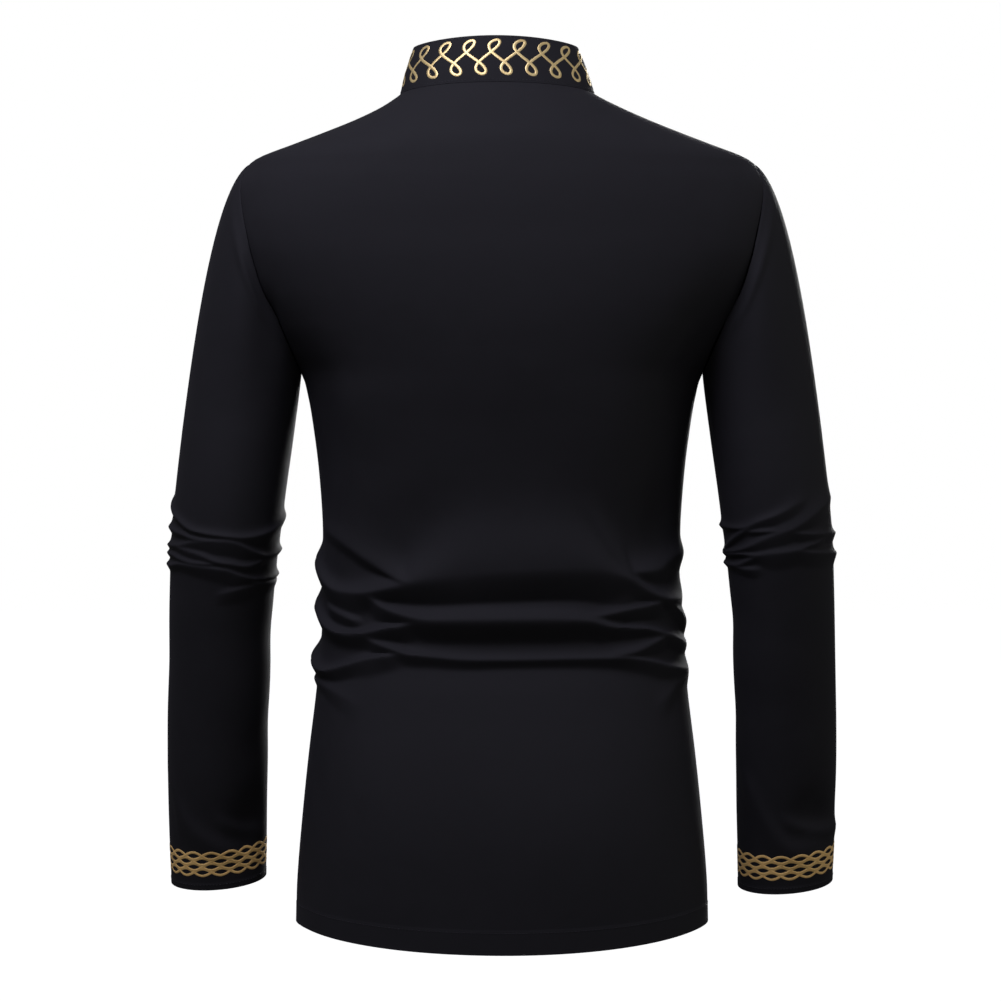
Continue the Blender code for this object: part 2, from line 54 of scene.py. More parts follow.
# Rings round the body from hem to neck. Back and front are its depths from the side seams, and a lift
# raises the middle of the ring there.
BODY_RINGS = named_rows(
    "level centre_x half_width back front back_lift front_lift",
    (-0.7310, 0.000, 0.1840, 0.121, 0.114, -0.017, -0.016),
    (-0.6940, 0.000, 0.1830, 0.121, 0.114, -0.011, -0.010),
    (-0.6400, 0.000, 0.1785, 0.119, 0.114, -0.003, -0.003),
    (-0.5800, 0.000, 0.1725, 0.112, 0.113, 0.000, 0.000),
    (-0.5300, 0.000, 0.1665, 0.101, 0.112, 0.000, 0.000),
    (-0.4800, 0.000, 0.1615, 0.089, 0.111, 0.000, 0.000),
    (-0.4300, 0.000, 0.1590, 0.083, 0.111, 0.000, 0.000),
    (-0.3800, 0.000, 0.1600, 0.087, 0.113, 0.000, 0.000),
    (-0.3300, 0.000, 0.1635, 0.095, 0.117, 0.000, 0.000),
    (-0.2900, 0.000, 0.1685, 0.102, 0.120, 0.000, 0.000),
    (-0.2640, 0.000, 0.1730, 0.107, 0.121, 0.000, 0.000),
    (-0.2440, 0.000, 0.1790, 0.110, 0.121, 0.000, -0.002),
    (-0.2240, 0.000, 0.1950, 0.112, 0.121, 0.000, -0.004),
    (-0.2020, 0.000, 0.2140, 0.1135, 0.119, 0.000, -0.007),
    (-0.1750, 0.000, 0.2330, 0.114, 0.115, 0.000, -0.010),
    (-0.1460, 0.000, 0.2440, 0.113, 0.110, 0.000, -0.014),
    (-0.1190, 0.000, 0.2475, 0.110, 0.104, 0.000, -0.019),
    (-0.0970, 0.000, 0.2465, 0.107, 0.098, 0.000, -0.024),
    (-0.0780, 0.000, 0.2410, 0.103, 0.092, 0.001, -0.030),
    (-0.0640, 0.000, 0.2310, 0.0992, 0.087, 0.001, -0.035),
    (-0.0530, 0.000, 0.2190, 0.0955, 0.084, 0.002, -0.040),
    (-0.0411, 0.000, 0.1885, 0.091, 0.079, 0.002, -0.045),
    (-0.0304, 0.000, 0.1605, 0.085, 0.073, 0.002, -0.050),
    (-0.0196, 0.000, 0.1335, 0.078, 0.067, 0.003, -0.055),
    (-0.0089, 0.001, 0.1100, 0.070, 0.062, 0.005, -0.061),
    (0.0000, 0.003, 0.0940, 0.063, 0.058, 0.005, -0.066),
    (0.0045, 0.004, 0.0870, 0.060, 0.056, 0.005, -0.068),
)
# A section is an ellipse but for this share of a wave of three, which squares its corners.
SECTION_SQUARENESS = 0.025
HEM_LEVEL = BODY_RINGS[0].level
NECK_LEVEL = BODY_RINGS[-1].level
UNDERARM_LEVEL = -0.244
SHOULDER_LEVEL = -0.057
ARMHOLE_BITE = 30.0
ARMHOLE_STEPS = 80
SEAM_GAP = 0.0002
CLOTH = 0.0007
BACK_COLUMNS = 132

# Creases. A turn is in degrees round the body from the centre back: 90 is the wearer's left side seam.
# Each crest runs through its stations. Above it the cloth rises to the crest within a short reach, and
# below it the cloth slopes back in evenly. The crest is keen at an edge of 1.2 and round at 2.
CREASE_EDGE = 1.3


def crest(*stations):
    """The stations along one crease. One that gives no edge has a plain crease's."""
    return named_rows("turn level rise above below edge", *stations, defaults=[CREASE_EDGE])


BODY_CREASES = {
    "overhang above the waist": crest(
        (104, -0.4010, 0.0000, 0.010, 0.012, 2.0),
        (92, -0.4080, 0.0066, 0.010, 0.011, 1.9),
        (82, -0.4180, 0.0074, 0.006, 0.014, 1.5),
        (72, -0.4275, 0.0080, 0.005, 0.016),
        (61, -0.4350, 0.0088, 0.005, 0.018),
        (52, -0.4372, 0.0092, 0.006, 0.018),
        (44, -0.4370, 0.0095, 0.008, 0.015),
        (38, -0.4346, 0.0105, 0.010, 0.014),
        (30, -0.4306, 0.0122, 0.015, 0.016, 1.4),
        (24, -0.4260, 0.0134, 0.022, 0.019, 1.6),
        (18, -0.4232, 0.0142, 0.032, 0.021, 1.8),
        (10, -0.4196, 0.0146, 0.042, 0.023, 2.0),
        (-1, -0.4172, 0.0156, 0.046, 0.023, 2.0),
        (-16, -0.4152, 0.0156, 0.042, 0.023, 2.0),
        (-28, -0.4168, 0.0142, 0.030, 0.023, 1.8),
        (-36, -0.4214, 0.0128, 0.015, 0.021, 1.5),
        (-42, -0.4268, 0.0114, 0.009, 0.017),
        (-47, -0.4335, 0.0100, 0.008, 0.013),
        (-53, -0.4395, 0.0092, 0.009, 0.010),
        (-62, -0.4440, 0.0080, 0.009, 0.009),
        (-74, -0.4432, 0.0042, 0.008, 0.009, 1.5),
        (-84, -0.4415, 0.0022, 0.011, 0.011, 2.0),
        (-94, -0.4395, 0.0018, 0.012, 0.012, 2.0),
        (-108, -0.4370, 0.0000, 0.010, 0.010, 2.0),
    ),
    "groove at the left above the overhang": crest(
        (86, -0.3780, 0.0000, 0.010, 0.008, 1.6),
        (74, -0.3825, 0.0026, 0.011, 0.009, 1.5),
        (62, -0.3900, 0.0036, 0.011, 0.009, 1.4),
        (54, -0.3972, 0.0040, 0.011, 0.008, 1.4),
        (44, -0.4086, 0.0052, 0.012, 0.008, 1.4),
        (38, -0.4166, 0.0068, 0.012, 0.007, 1.4),
        (33, -0.4232, 0.0096, 0.012, 0.006, 1.4),
        (29, -0.4276, 0.0112, 0.012, 0.005, 1.4),
        (25, -0.4316, 0.0000, 0.012, 0.005, 1.4),
    ),
    "upper ridge": crest(
        (50, -0.4350, 0.0000, 0.003, 0.012),
        (45, -0.4384, 0.0045, 0.003, 0.012),
        (42, -0.4414, 0.0070, 0.004, 0.013),
        (38, -0.4480, 0.0085, 0.004, 0.014),
        (34, -0.4524, 0.0095, 0.005, 0.014),
        (28, -0.4572, 0.0108, 0.007, 0.014, 1.4),
        (22, -0.4606, 0.0115, 0.009, 0.016, 1.5),
        (10, -0.4610, 0.0118, 0.012, 0.016, 1.6),
        (-1, -0.4606, 0.0118, 0.012, 0.016, 1.6),
        (-16, -0.4604, 0.0118, 0.012, 0.016, 1.6),
        (-26, -0.4616, 0.0112, 0.010, 0.015, 1.4),
        (-32, -0.4658, 0.0100, 0.006, 0.013),
        (-38, -0.4676, 0.0085, 0.004, 0.012),
        (-46, -0.4684, 0.0078, 0.004, 0.010),
        (-52, -0.4706, 0.0074, 0.004, 0.010),
        (-59, -0.4742, 0.0070, 0.004, 0.010),
        (-70, -0.4795, 0.0052, 0.005, 0.009, 1.5),
        (-82, -0.4834, 0.0036, 0.007, 0.008, 1.9),
        (-94, -0.4850, 0.0032, 0.008, 0.008, 2.0),
        (-110, -0.4860, 0.0000, 0.008, 0.008, 2.0),
    ),
    "left lower branch of the upper ridge": crest(
        (104, -0.4430, 0.0000, 0.012, 0.012, 2.0),
        (92, -0.4490, 0.0070, 0.011, 0.013, 1.9),
        (83, -0.4550, 0.0070, 0.006, 0.012, 1.5),
        (74, -0.4632, 0.0074, 0.0035, 0.012),
        (64, -0.4700, 0.0080, 0.0030, 0.012),
        (56, -0.4732, 0.0084, 0.0030, 0.012),
        (48, -0.4732, 0.0084, 0.0030, 0.013),
        (43, -0.4716, 0.0086, 0.0035, 0.013),
        (37, -0.4686, 0.0090, 0.004, 0.013),
        (31, -0.4664, 0.0090, 0.004, 0.014),
        (26, -0.4640, 0.0070, 0.005, 0.014),
        (19, -0.4640, 0.0000, 0.006, 0.014),
    ),
    "right upper branch of the upper ridge": crest(
        (-20, -0.4596, 0.0000, 0.008, 0.012),
        (-26, -0.4584, 0.0070, 0.008, 0.012),
        (-31, -0.4560, 0.0082, 0.005, 0.012),
        (-38, -0.4524, 0.0084, 0.004, 0.013),
        (-46, -0.4494, 0.0080, 0.004, 0.014),
        (-54, -0.4464, 0.0070, 0.004, 0.013),
        (-62, -0.4430, 0.0000, 0.004, 0.012),
    ),
    "lower ridge": crest(
        (50, -0.4730, 0.0000, 0.003, 0.010),
        (44, -0.4762, 0.0050, 0.003, 0.011),
        (40, -0.4806, 0.0068, 0.004, 0.011),
        (34, -0.4854, 0.0074, 0.004, 0.010),
        (28, -0.4902, 0.0072, 0.004, 0.010),
        (20, -0.4924, 0.0066, 0.005, 0.009),
        (11, -0.4948, 0.0062, 0.006, 0.008),
        (-1, -0.4950, 0.0056, 0.006, 0.007),
        (-16, -0.4944, 0.0056, 0.006, 0.007),
        (-28, -0.4938, 0.0062, 0.006, 0.008),
        (-36, -0.4938, 0.0072, 0.005, 0.009),
        (-44, -0.4950, 0.0072, 0.004, 0.011),
        (-52, -0.4980, 0.0070, 0.004, 0.012),
        (-61, -0.5026, 0.0066, 0.004, 0.011),
        (-74, -0.5056, 0.0052, 0.006, 0.010, 1.5),
        (-86, -0.5066, 0.0032, 0.011, 0.011, 2.0),
        (-96, -0.5060, 0.0026, 0.012, 0.012, 2.0),
        (-112, -0.5050, 0.0000, 0.009, 0.011, 2.0),
    ),
    "left lower branch of the lower ridge": crest(
        (112, -0.4880, 0.0000, 0.011, 0.012, 2.0),
        (96, -0.4930, 0.0080, 0.010, 0.012, 1.9),
        (84, -0.5016, 0.0076, 0.006, 0.010, 1.5),
        (69, -0.5064, 0.0074, 0.0035, 0.009),
        (60, -0.5044, 0.0078, 0.0030, 0.011),
        (53, -0.5008, 0.0078, 0.0030, 0.011),
        (48, -0.4976, 0.0074, 0.0030, 0.012),
        (42, -0.4944, 0.0072, 0.0030, 0.014),
        (34, -0.4918, 0.0064, 0.0035, 0.012),
        (27, -0.4896, 0.0000, 0.005, 0.010),
    ),
    "right upper branch of the lower ridge": crest(
        (-28, -0.4936, 0.0000, 0.008, 0.008),
        (-36, -0.4914, 0.0074, 0.008, 0.009),
        (-43, -0.4880, 0.0082, 0.007, 0.011),
        (-49, -0.4826, 0.0080, 0.006, 0.013),
        (-56, -0.4770, 0.0072, 0.005, 0.013),
        (-66, -0.4715, 0.0000, 0.004, 0.012),
    ),
    "right upper facet": crest(
        (-33, -0.4200, 0.0000, 0.012, 0.012, 1.6),
        (-40, -0.4196, 0.0048, 0.011, 0.012, 1.5),
        (-46, -0.4190, 0.0086, 0.011, 0.012, 1.4),
        (-52, -0.4180, 0.0092, 0.011, 0.013, 1.5),
        (-58, -0.4160, 0.0084, 0.011, 0.014, 1.5),
        (-66, -0.4090, 0.0064, 0.009, 0.015, 1.5),
        (-75, -0.4048, 0.0050, 0.009, 0.013, 1.7),
        (-86, -0.4030, 0.0040, 0.010, 0.011, 2.0),
        (-104, -0.3980, 0.0000, 0.010, 0.012, 2.0),
    ),
    "right diagonal above the waist": crest(
        (-18, -0.3560, 0.0000, 0.012, 0.024, 2.0),
        (-25, -0.3740, 0.0030, 0.011, 0.026, 2.0),
        (-32, -0.3956, 0.0068, 0.010, 0.026, 1.8),
        (-37, -0.4100, 0.0088, 0.009, 0.024, 1.6),
        (-41, -0.4210, 0.0095, 0.008, 0.020, 1.5),
        (-46, -0.4320, 0.0000, 0.007, 0.016, 1.5),
    ),
    "right side bulge": crest(
        (-56, -0.4400, 0.0000, 0.003, 0.007),
        (-63, -0.4470, 0.0040, 0.004, 0.008, 1.4),
        (-72, -0.4550, 0.0046, 0.006, 0.009, 1.6),
        (-84, -0.4625, 0.0046, 0.010, 0.011, 2.0),
        (-98, -0.4665, 0.0042, 0.011, 0.012, 2.0),
        (-116, -0.4670, 0.0000, 0.011, 0.012, 2.0),
    ),
    "small facet on the left": crest(
        (75, -0.4470, 0.0000, 0.003, 0.009),
        (66, -0.4520, 0.0042, 0.004, 0.010),
        (57, -0.4572, 0.0050, 0.004, 0.010),
        (51, -0.4610, 0.0046, 0.003, 0.008),
        (46, -0.4650, 0.0000, 0.003, 0.006),
    ),
    "left crease below the waist": crest(
        (100, -0.5100, 0.0000, 0.006, 0.009),
        (84, -0.5145, 0.0036, 0.006, 0.007),
        (70, -0.5190, 0.0036, 0.006, 0.009),
        (56, -0.5270, 0.0030, 0.008, 0.012),
        (43, -0.5380, 0.0000, 0.012, 0.014),
    ),
    "right crease below the waist": crest(
        (-50, -0.5380, 0.0000, 0.010, 0.014),
        (-58, -0.5280, 0.0026, 0.009, 0.013),
        (-66, -0.5180, 0.0032, 0.008, 0.009),
        (-78, -0.5130, 0.0032, 0.006, 0.007),
        (-94, -0.5120, 0.0000, 0.006, 0.009),
    ),
    "left front crease, high": crest(
        (84, -0.4040, 0.0000, 0.012, 0.013),
        (102, -0.4120, 0.0052, 0.013, 0.013),
        (124, -0.4180, 0.0060, 0.014, 0.014),
        (146, -0.4265, 0.0032, 0.013, 0.013),
        (160, -0.4310, 0.0000, 0.012, 0.013),
    ),
    "left front crease, middle": crest(
        (84, -0.4480, 0.0000, 0.011, 0.013),
        (106, -0.4590, 0.0056, 0.012, 0.013),
        (130, -0.4640, 0.0064, 0.013, 0.014),
        (156, -0.4680, 0.0030, 0.012, 0.013),
        (172, -0.4685, 0.0000, 0.011, 0.013),
    ),
    "left front crease, low": crest(
        (84, -0.4990, 0.0000, 0.011, 0.013),
        (104, -0.5045, 0.0050, 0.012, 0.013),
        (128, -0.5040, 0.0052, 0.012, 0.013),
        (150, -0.4985, 0.0026, 0.011, 0.012),
        (166, -0.4955, 0.0000, 0.010, 0.012),
    ),
    "right front crease, high": crest(
        (-84, -0.4020, 0.0000, 0.012, 0.013),
        (-104, -0.4130, 0.0052, 0.013, 0.013),
        (-126, -0.4205, 0.0060, 0.014, 0.014),
        (-148, -0.4260, 0.0030, 0.013, 0.013),
        (-162, -0.4275, 0.0000, 0.012, 0.013),
    ),
    "right front crease, middle": crest(
        (-84, -0.4710, 0.0000, 0.011, 0.013),
        (-106, -0.4640, 0.0058, 0.012, 0.013),
        (-130, -0.4595, 0.0064, 0.013, 0.014),
        (-158, -0.4630, 0.0030, 0.012, 0.013),
        (-174, -0.4650, 0.0000, 0.011, 0.013),
    ),
    "right front crease, low": crest(
        (-84, -0.5010, 0.0000, 0.011, 0.013),
        (-104, -0.5000, 0.0048, 0.012, 0.013),
        (-128, -0.5000, 0.0052, 0.012, 0.013),
        (-148, -0.5025, 0.0028, 0.011, 0.012),
        (-164, -0.5045, 0.0000, 0.010, 0.012),
    ),
}
# Where creases meet, the higher one wins the more, the greater the merge is. The foot is how softly
# a slope ends on the plain cloth, and the arc is the body's usual radius.
CREASE_MERGE = 6.0
RAMP_FOOT = 0.09
BODY_ARC = 0.12

# Soft swells and hollows of the cloth between the folds. Each leans as it goes down.
SWELL_COLUMNS = "turn level turn_reach level_reach lean height"
BODY_SWELLS = named_rows(
    SWELL_COLUMNS,
    (0, -0.492, 46, 0.030, 0, -0.0050),
    (0, -0.545, 50, 0.075, 0, -0.0075),
    (-8, -0.400, 50, 0.045, 0, -0.0030),
    (88, -0.428, 12, 0.028, 0, 0.0014),
    (63, -0.300, 11, 0.075, -60, -0.0050),
    (-57, -0.300, 18, 0.070, 30, -0.0060),
    (-58, -0.385, 17, 0.045, 0, -0.0075),
    (-60, -0.450, 15, 0.030, 0, 0.0030),
    (66, -0.198, 4.5, 0.020, -320, -0.0040),
    (-57, -0.219, 10, 0.048, 130, -0.0088),
    (0, -0.740, 55, 0.060, 0, -0.0040),
    (52, -0.125, 18, 0.040, 0, 0.0034),
    (-54, -0.125, 16, 0.040, 0, 0.0020),
    (46, -0.275, 18, 0.040, 0, 0.0034),
    (-34, -0.285, 16, 0.050, 0, 0.0030),
    (40, -0.360, 16, 0.040, -160, 0.0014),
    (18, -0.250, 22, 0.060, 60, -0.0012),
    (-14, -0.190, 20, 0.050, -80, 0.0012),
    (10, -0.030, 14, 0.012, 200, -0.0012),
    (-18, -0.026, 12, 0.012, -200, 0.0010),
    (40, -0.600, 14, 0.060, 60, 0.0018),
    (12, -0.660, 12, 0.070, 30, -0.0020),
    (-24, -0.640, 14, 0.080, -40, 0.0018),
    (-58, -0.650, 12, 0.070, 30, -0.0024),
    (66, -0.680, 12, 0.060, -30, -0.0022),
    (116, -0.640, 16, 0.080, 30, -0.0022),
    (146, -0.600, 12, 0.090, -30, 0.0022),
    (-118, -0.630, 16, 0.080, 30, 0.0022),
    (-146, -0.610, 12, 0.090, -30, -0.0024),
    (118, -0.300, 12, 0.080, 60, -0.0045),
    (-120, -0.300, 12, 0.080, -60, -0.0045),
    (150, -0.220, 14, 0.060, -40, 0.0020),
    (-150, -0.230, 14, 0.060, 40, 0.0018),
)

HEM_DEPTH = 0.018
HEM_STEP = 0.00025
HEM_SOFTNESS = 0.0008
SEAM_DIP = 0.0004
SEAM_REACH = 0.0030


def curve_between(start, leaves, end, arrives, share):
    """A smooth curve from start to end, with the directions in which it leaves and arrives."""
    return (
        start * (2 * share**3 - 3 * share**2 + 1)
        + leaves * (share**3 - 2 * share**2 + share)
        + end * (3 * share**2 - 2 * share**3)
        + arrives * (share**3 - share**2)
    )


def smooth_through(table, places):
    """The columns of a table after its first, at some places along the first, on smooth curves."""
    rows = np.array(sorted(table), float)
    at, columns = rows[:, 0], rows[:, 1:]
    slopes = np.empty_like(columns)
    slopes[1:-1] = (columns[2:] - columns[:-2]) / (at[2:] - at[:-2])[:, None]
    slopes[0] = (columns[1] - columns[0]) / (at[1] - at[0])
    slopes[-1] = (columns[-1] - columns[-2]) / (at[-1] - at[-2])
    places = np.clip(places, at[0], at[-1])
    low = np.clip(np.searchsorted(at, places, side="right") - 1, 0, len(at) - 2)
    span = (at[low + 1] - at[low])[..., None]
    share = (places - at[low])[..., None] / span
    curve = curve_between(columns[low], span * slopes[low], columns[low + 1], span * slopes[low + 1], share)
    return np.moveaxis(curve, -1, 0)


def smooth_step(share):
    """Rises from 0 to 1 with no kink, as the share does."""
    share = np.clip(share, 0.0, 1.0)
    return share * share * (3 - 2 * share)


def unit(vectors):
    """The same directions with a length of 1."""
    return vectors / np.linalg.norm(vectors, axis=-1, keepdims=True)


def crease_height(stations, level, turn, arc):
    """How far one crease lifts the cloth at each point. A turn is measured on the arc's radius."""
    crest, rise, above, below, edge = smooth_through(stations, turn)
    step = 1.0
    ahead = smooth_through(stations, turn + step)[0]
    behind = smooth_through(stations, turn - step)[0]
    slope = (ahead - behind) / (2 * math.radians(step) * arc)
    off = (level - crest) / np.sqrt(1 + slope**2)
    climb = np.exp(-((np.maximum(off, 0) / above) ** edge))
    roundness = (edge - 1) / 2
    fall = np.sqrt((np.maximum(-off, 0) / below) ** 2 + roundness**2) - roundness
    ramp = np.log1p(np.exp((1 - fall) / RAMP_FOOT)) / np.log1p(np.exp(1 / RAMP_FOOT))
    return np.maximum(rise, 0) * np.where(off > 0, climb, ramp)


def creased(creases, level, turn, arc):
    """All creases together. Those that meet join into one crest instead of adding up."""
    level, turn = np.broadcast_arrays(level, turn)
    total = np.zeros(level.shape)
    for stations in creases.values():
        first, last = min(stations).turn, max(stations).turn
        for whole_turn in (-360, 0, 360):
            there = (turn + whole_turn > first) & (turn + whole_turn < last)
            if there.any():
                height = crease_height(stations, level[there], turn[there] + whole_turn, arc)
                total[there] += height**CREASE_MERGE
    return total ** (1 / CREASE_MERGE)


def swollen(swells, level, turn):
    """How far all swells and hollows together lift the cloth."""
    total = np.zeros(np.broadcast(level, turn).shape)
    for swell in swells:
        drop = level - swell.level
        aside = (turn - swell.turn - swell.lean * drop + 180) % 360 - 180
        far = (aside / swell.turn_reach) ** 2 + (drop / swell.level_reach) ** 2
        total += swell.height * np.exp(-far)
    return total


def body_relief(level, turn):
    """How far the body's cloth stands off its plain form."""
    hem = HEM_STEP * smooth_step((HEM_LEVEL + HEM_DEPTH - level) / HEM_SOFTNESS + 0.5)
    return creased(BODY_CREASES, level, turn, BODY_ARC) + swollen(BODY_SWELLS, level, turn) + hem


def body_surface(level, turn):
    """Points of the shirt's body at some levels and turns from the centre back."""
    level, turn = np.broadcast_arrays(np.asarray(level, float), np.asarray(turn, float))
    centre_x, half_width, back, front, back_lift, front_lift = smooth_through(BODY_RINGS, level)
    angle = np.radians(turn)
    across = (np.sin(angle) + SECTION_SQUARENESS * np.sin(3 * angle)) / (1 - SECTION_SQUARENESS)
    along = (np.cos(angle) - SECTION_SQUARENESS * np.cos(3 * angle)) / (1 - SECTION_SQUARENESS)
    at_back = np.cos(angle) > 0
    depth = np.where(at_back, back, front)
    lift = np.where(at_back, back_lift, front_lift) * np.cos(angle) ** 2
    point = np.stack([centre_x + half_width * across, depth * along, level + lift], -1)
    outward = unit(np.stack([across / half_width, along / depth, np.zeros_like(across)], -1))
    return point + outward * body_relief(level, turn)[..., None]


LEVEL_NUDGE = 0.001
TURN_NUDGE = 0.5


def body_normal(level, turn):
    """The direction square to the cloth and away from the wearer."""
    upward = body_surface(level + LEVEL_NUDGE, turn) - body_surface(level - LEVEL_NUDGE, turn)
    onward = body_surface(level, turn + TURN_NUDGE) - body_surface(level, turn - TURN_NUDGE)
    return unit(np.cross(upward, onward))


def armhole_level(rise):
    """The level on the armhole for a rise from 0 at the underarm to 180 degrees at the shoulder."""
    return UNDERARM_LEVEL + (SHOULDER_LEVEL - UNDERARM_LEVEL) * (1 - np.cos(np.radians(rise))) / 2


def armhole_bite(rise):
    """How far the armhole cuts into the back or the front there, as a turn in degrees."""
    return ARMHOLE_BITE * np.sin(np.radians(rise))


# Rows of points lie close together at the hem's step and in the creased waist, and wider elsewhere.
HEM_ROWS = np.array([0.0, 0.0015, 0.005, 0.009, 0.013, 0.0165, 0.0176, 0.0184, 0.0195, 0.022])
SKIRT_ABOVE_HEM = 0.027
SKIRT_TOP = -0.548
SKIRT_PITCH = 0.0052
WAIST_BOTTOM = -0.546
WAIST_TOP = -0.362
WAIST_PITCH = 0.0014
CHEST_BOTTOM = -0.360
CHEST_PITCH = 0.0042
ARMHOLE_CLEARANCE = 0.003
SHOULDER_ROWS = 20


def body_rows():
    """The level of each row of the body's points, from hem to neck, and the armhole's bite there."""
    hem = HEM_LEVEL + HEM_ROWS
    skirt = np.arange(HEM_LEVEL + SKIRT_ABOVE_HEM, SKIRT_TOP, SKIRT_PITCH)
    waist = np.arange(WAIST_BOTTOM, WAIST_TOP, WAIST_PITCH)
    chest = np.arange(CHEST_BOTTOM, UNDERARM_LEVEL - ARMHOLE_CLEARANCE, CHEST_PITCH)
    rises = np.linspace(0, 180, ARMHOLE_STEPS + 1)
    shoulder = np.linspace(SHOULDER_LEVEL + ARMHOLE_CLEARANCE, NECK_LEVEL, SHOULDER_ROWS)
    plain = np.concatenate([hem, skirt, waist, chest])
    levels = np.concatenate([plain, armhole_level(rises), shoulder])
    bites = np.concatenate([np.zeros(len(plain)), armhole_bite(rises), np.zeros(len(shoulder))])
    return levels, bites


# Columns of points crowd together in the last degrees before a seam.
EDGE_COLUMN = 2.5
EDGE_SHARES = np.array([0.0, 0.14, 0.30, 0.48, 0.72])


def seam_half_turn(level):
    """Half a seam's gap at the side of a ring, as a turn in degrees."""
    return np.degrees(SEAM_GAP / 2 / smooth_through(BODY_RINGS, level)[2])


def back_turns(levels, bites):
    """Rows of turns across the back, from the right seam or armhole to the left one."""
    edge = (90 - seam_half_turn(levels))[:, None]
    bite = bites[:, None]
    inner = edge - EDGE_COLUMN
    share = np.linspace(-1, 1, BACK_COLUMNS + 1)[None, :]
    middle = inner * share - bite * share * np.abs(share)
    near_edge = edge - bite - EDGE_COLUMN * EDGE_SHARES[None, :]
    return np.hstack([-near_edge, middle, near_edge[:, ::-1]])


def grid_normals(grid, closed_round=False):
    """The direction square to a grid of points, at each of them, away from the wearer."""
    upward = np.gradient(grid, axis=0)
    if closed_round:
        onward = np.roll(grid, -1, axis=1) - np.roll(grid, 1, axis=1)
    else:
        onward = np.gradient(grid, axis=1)
    return unit(np.cross(upward, onward))


def pressed_seams(grid, right=True, left=True):
    """The cloth of a panel sinks a little along the seams at the ends of its rows."""
    steps = np.linalg.norm(np.diff(grid, axis=1), axis=-1)
    run = np.concatenate([np.zeros((len(grid), 1)), np.cumsum(steps, axis=1)], axis=1)
    dip = np.zeros(run.shape)
    if right:
        dip += np.exp(-((run / SEAM_REACH) ** 2))
    if left:
        dip += np.exp(-(((run[:, -1:] - run) / SEAM_REACH) ** 2))
    return grid - grid_normals(grid) * (SEAM_DIP * dip)[..., None]


EDGE_ANGLE = math.radians(50)


def placed(name, shape):
    """A new object in the scene, made of a mesh, a light or a camera."""
    thing = bpy.data.objects.new(name, shape)
    bpy.context.scene.collection.objects.link(thing)
    return thing


def cloth_wall(name, grid, thickness, finish, closed_round=False):
    """A cloth wall through rows of points from low to high, thickened towards the wearer."""
    rows, columns, _ = grid.shape
    number = np.arange(rows * columns).reshape(rows, columns)
    here = number if closed_round else number[:, :-1]
    after = np.roll(number, -1, axis=1) if closed_round else number[:, 1:]
    faces = np.stack([here[:-1], here[1:], after[1:], after[:-1]], -1).reshape(-1, 4)
    sheet = bpy.data.meshes.new(name)
    sheet.from_pydata(grid.reshape(-1, 3).tolist(), [], faces.tolist())
    sheet.shade_smooth()
    sheet.materials.append(finish)
    piece = placed(name, sheet)
    solidify = piece.modifiers.new("cloth thickness", "SOLIDIFY")
    solidify.thickness = thickness
    solidify.offset = -1.0
    solidify.use_quality_normals = True
    bpy.context.view_layer.update()
    wall = bpy.data.meshes.new_from_object(piece.evaluated_get(bpy.context.evaluated_depsgraph_get()))
    piece.modifiers.clear()
    piece.data = wall
    wall.set_sharp_from_angle(angle=EDGE_ANGLE)
    return piece


def linear(hex_colour):
    """A linear colour from an sRGB hex value."""
    channels = [int(hex_colour[i : i + 2], 16) / 255 for i in (1, 3, 5)]
    return [c / 12.92 if c <= 0.04045 else ((c + 0.055) / 1.055) ** 2.4 for c in channels] + [1.0]


def add_node(material, kind, inputs, **settings):
    """Adds a node with its settings, and sets or links its inputs."""
    made = material.node_tree.nodes.new(kind)
    for setting, value in settings.items():
        setattr(made, setting, value)
    for socket, value in inputs.items():
        if isinstance(value, bpy.types.NodeSocket):
            material.node_tree.links.new(value, made.inputs[socket])
        else:
            made.inputs[socket].default_value = value
    return made


def plain_material(name):
    """A new material with nothing in it but its shader and output, and that shader."""
    material = bpy.data.materials.new(name)
    material.use_nodes = True
    return material, material.node_tree.nodes["Principled BSDF"]


# Mercerised cotton sateen, dyed black: nearly matt, with a faint cool bloom where light grazes it.
COTTON_BLACK = "#1C1B1F"
COTTON_BLACK_WORN = "#232226"
COTTON_SHEEN = "#9A98B4"
# Threads 0.3 mm apart don't show at this distance, so the weave is drawn at 0.8 mm. The dye takes a
# little unevenly in patches 22 mm across, and the worn cloth ripples softly every 36 mm.
WEAVE_SPACING = 0.0008
DYE_PATCH = 1 / 45
RIPPLE_SPACING = 1 / 28


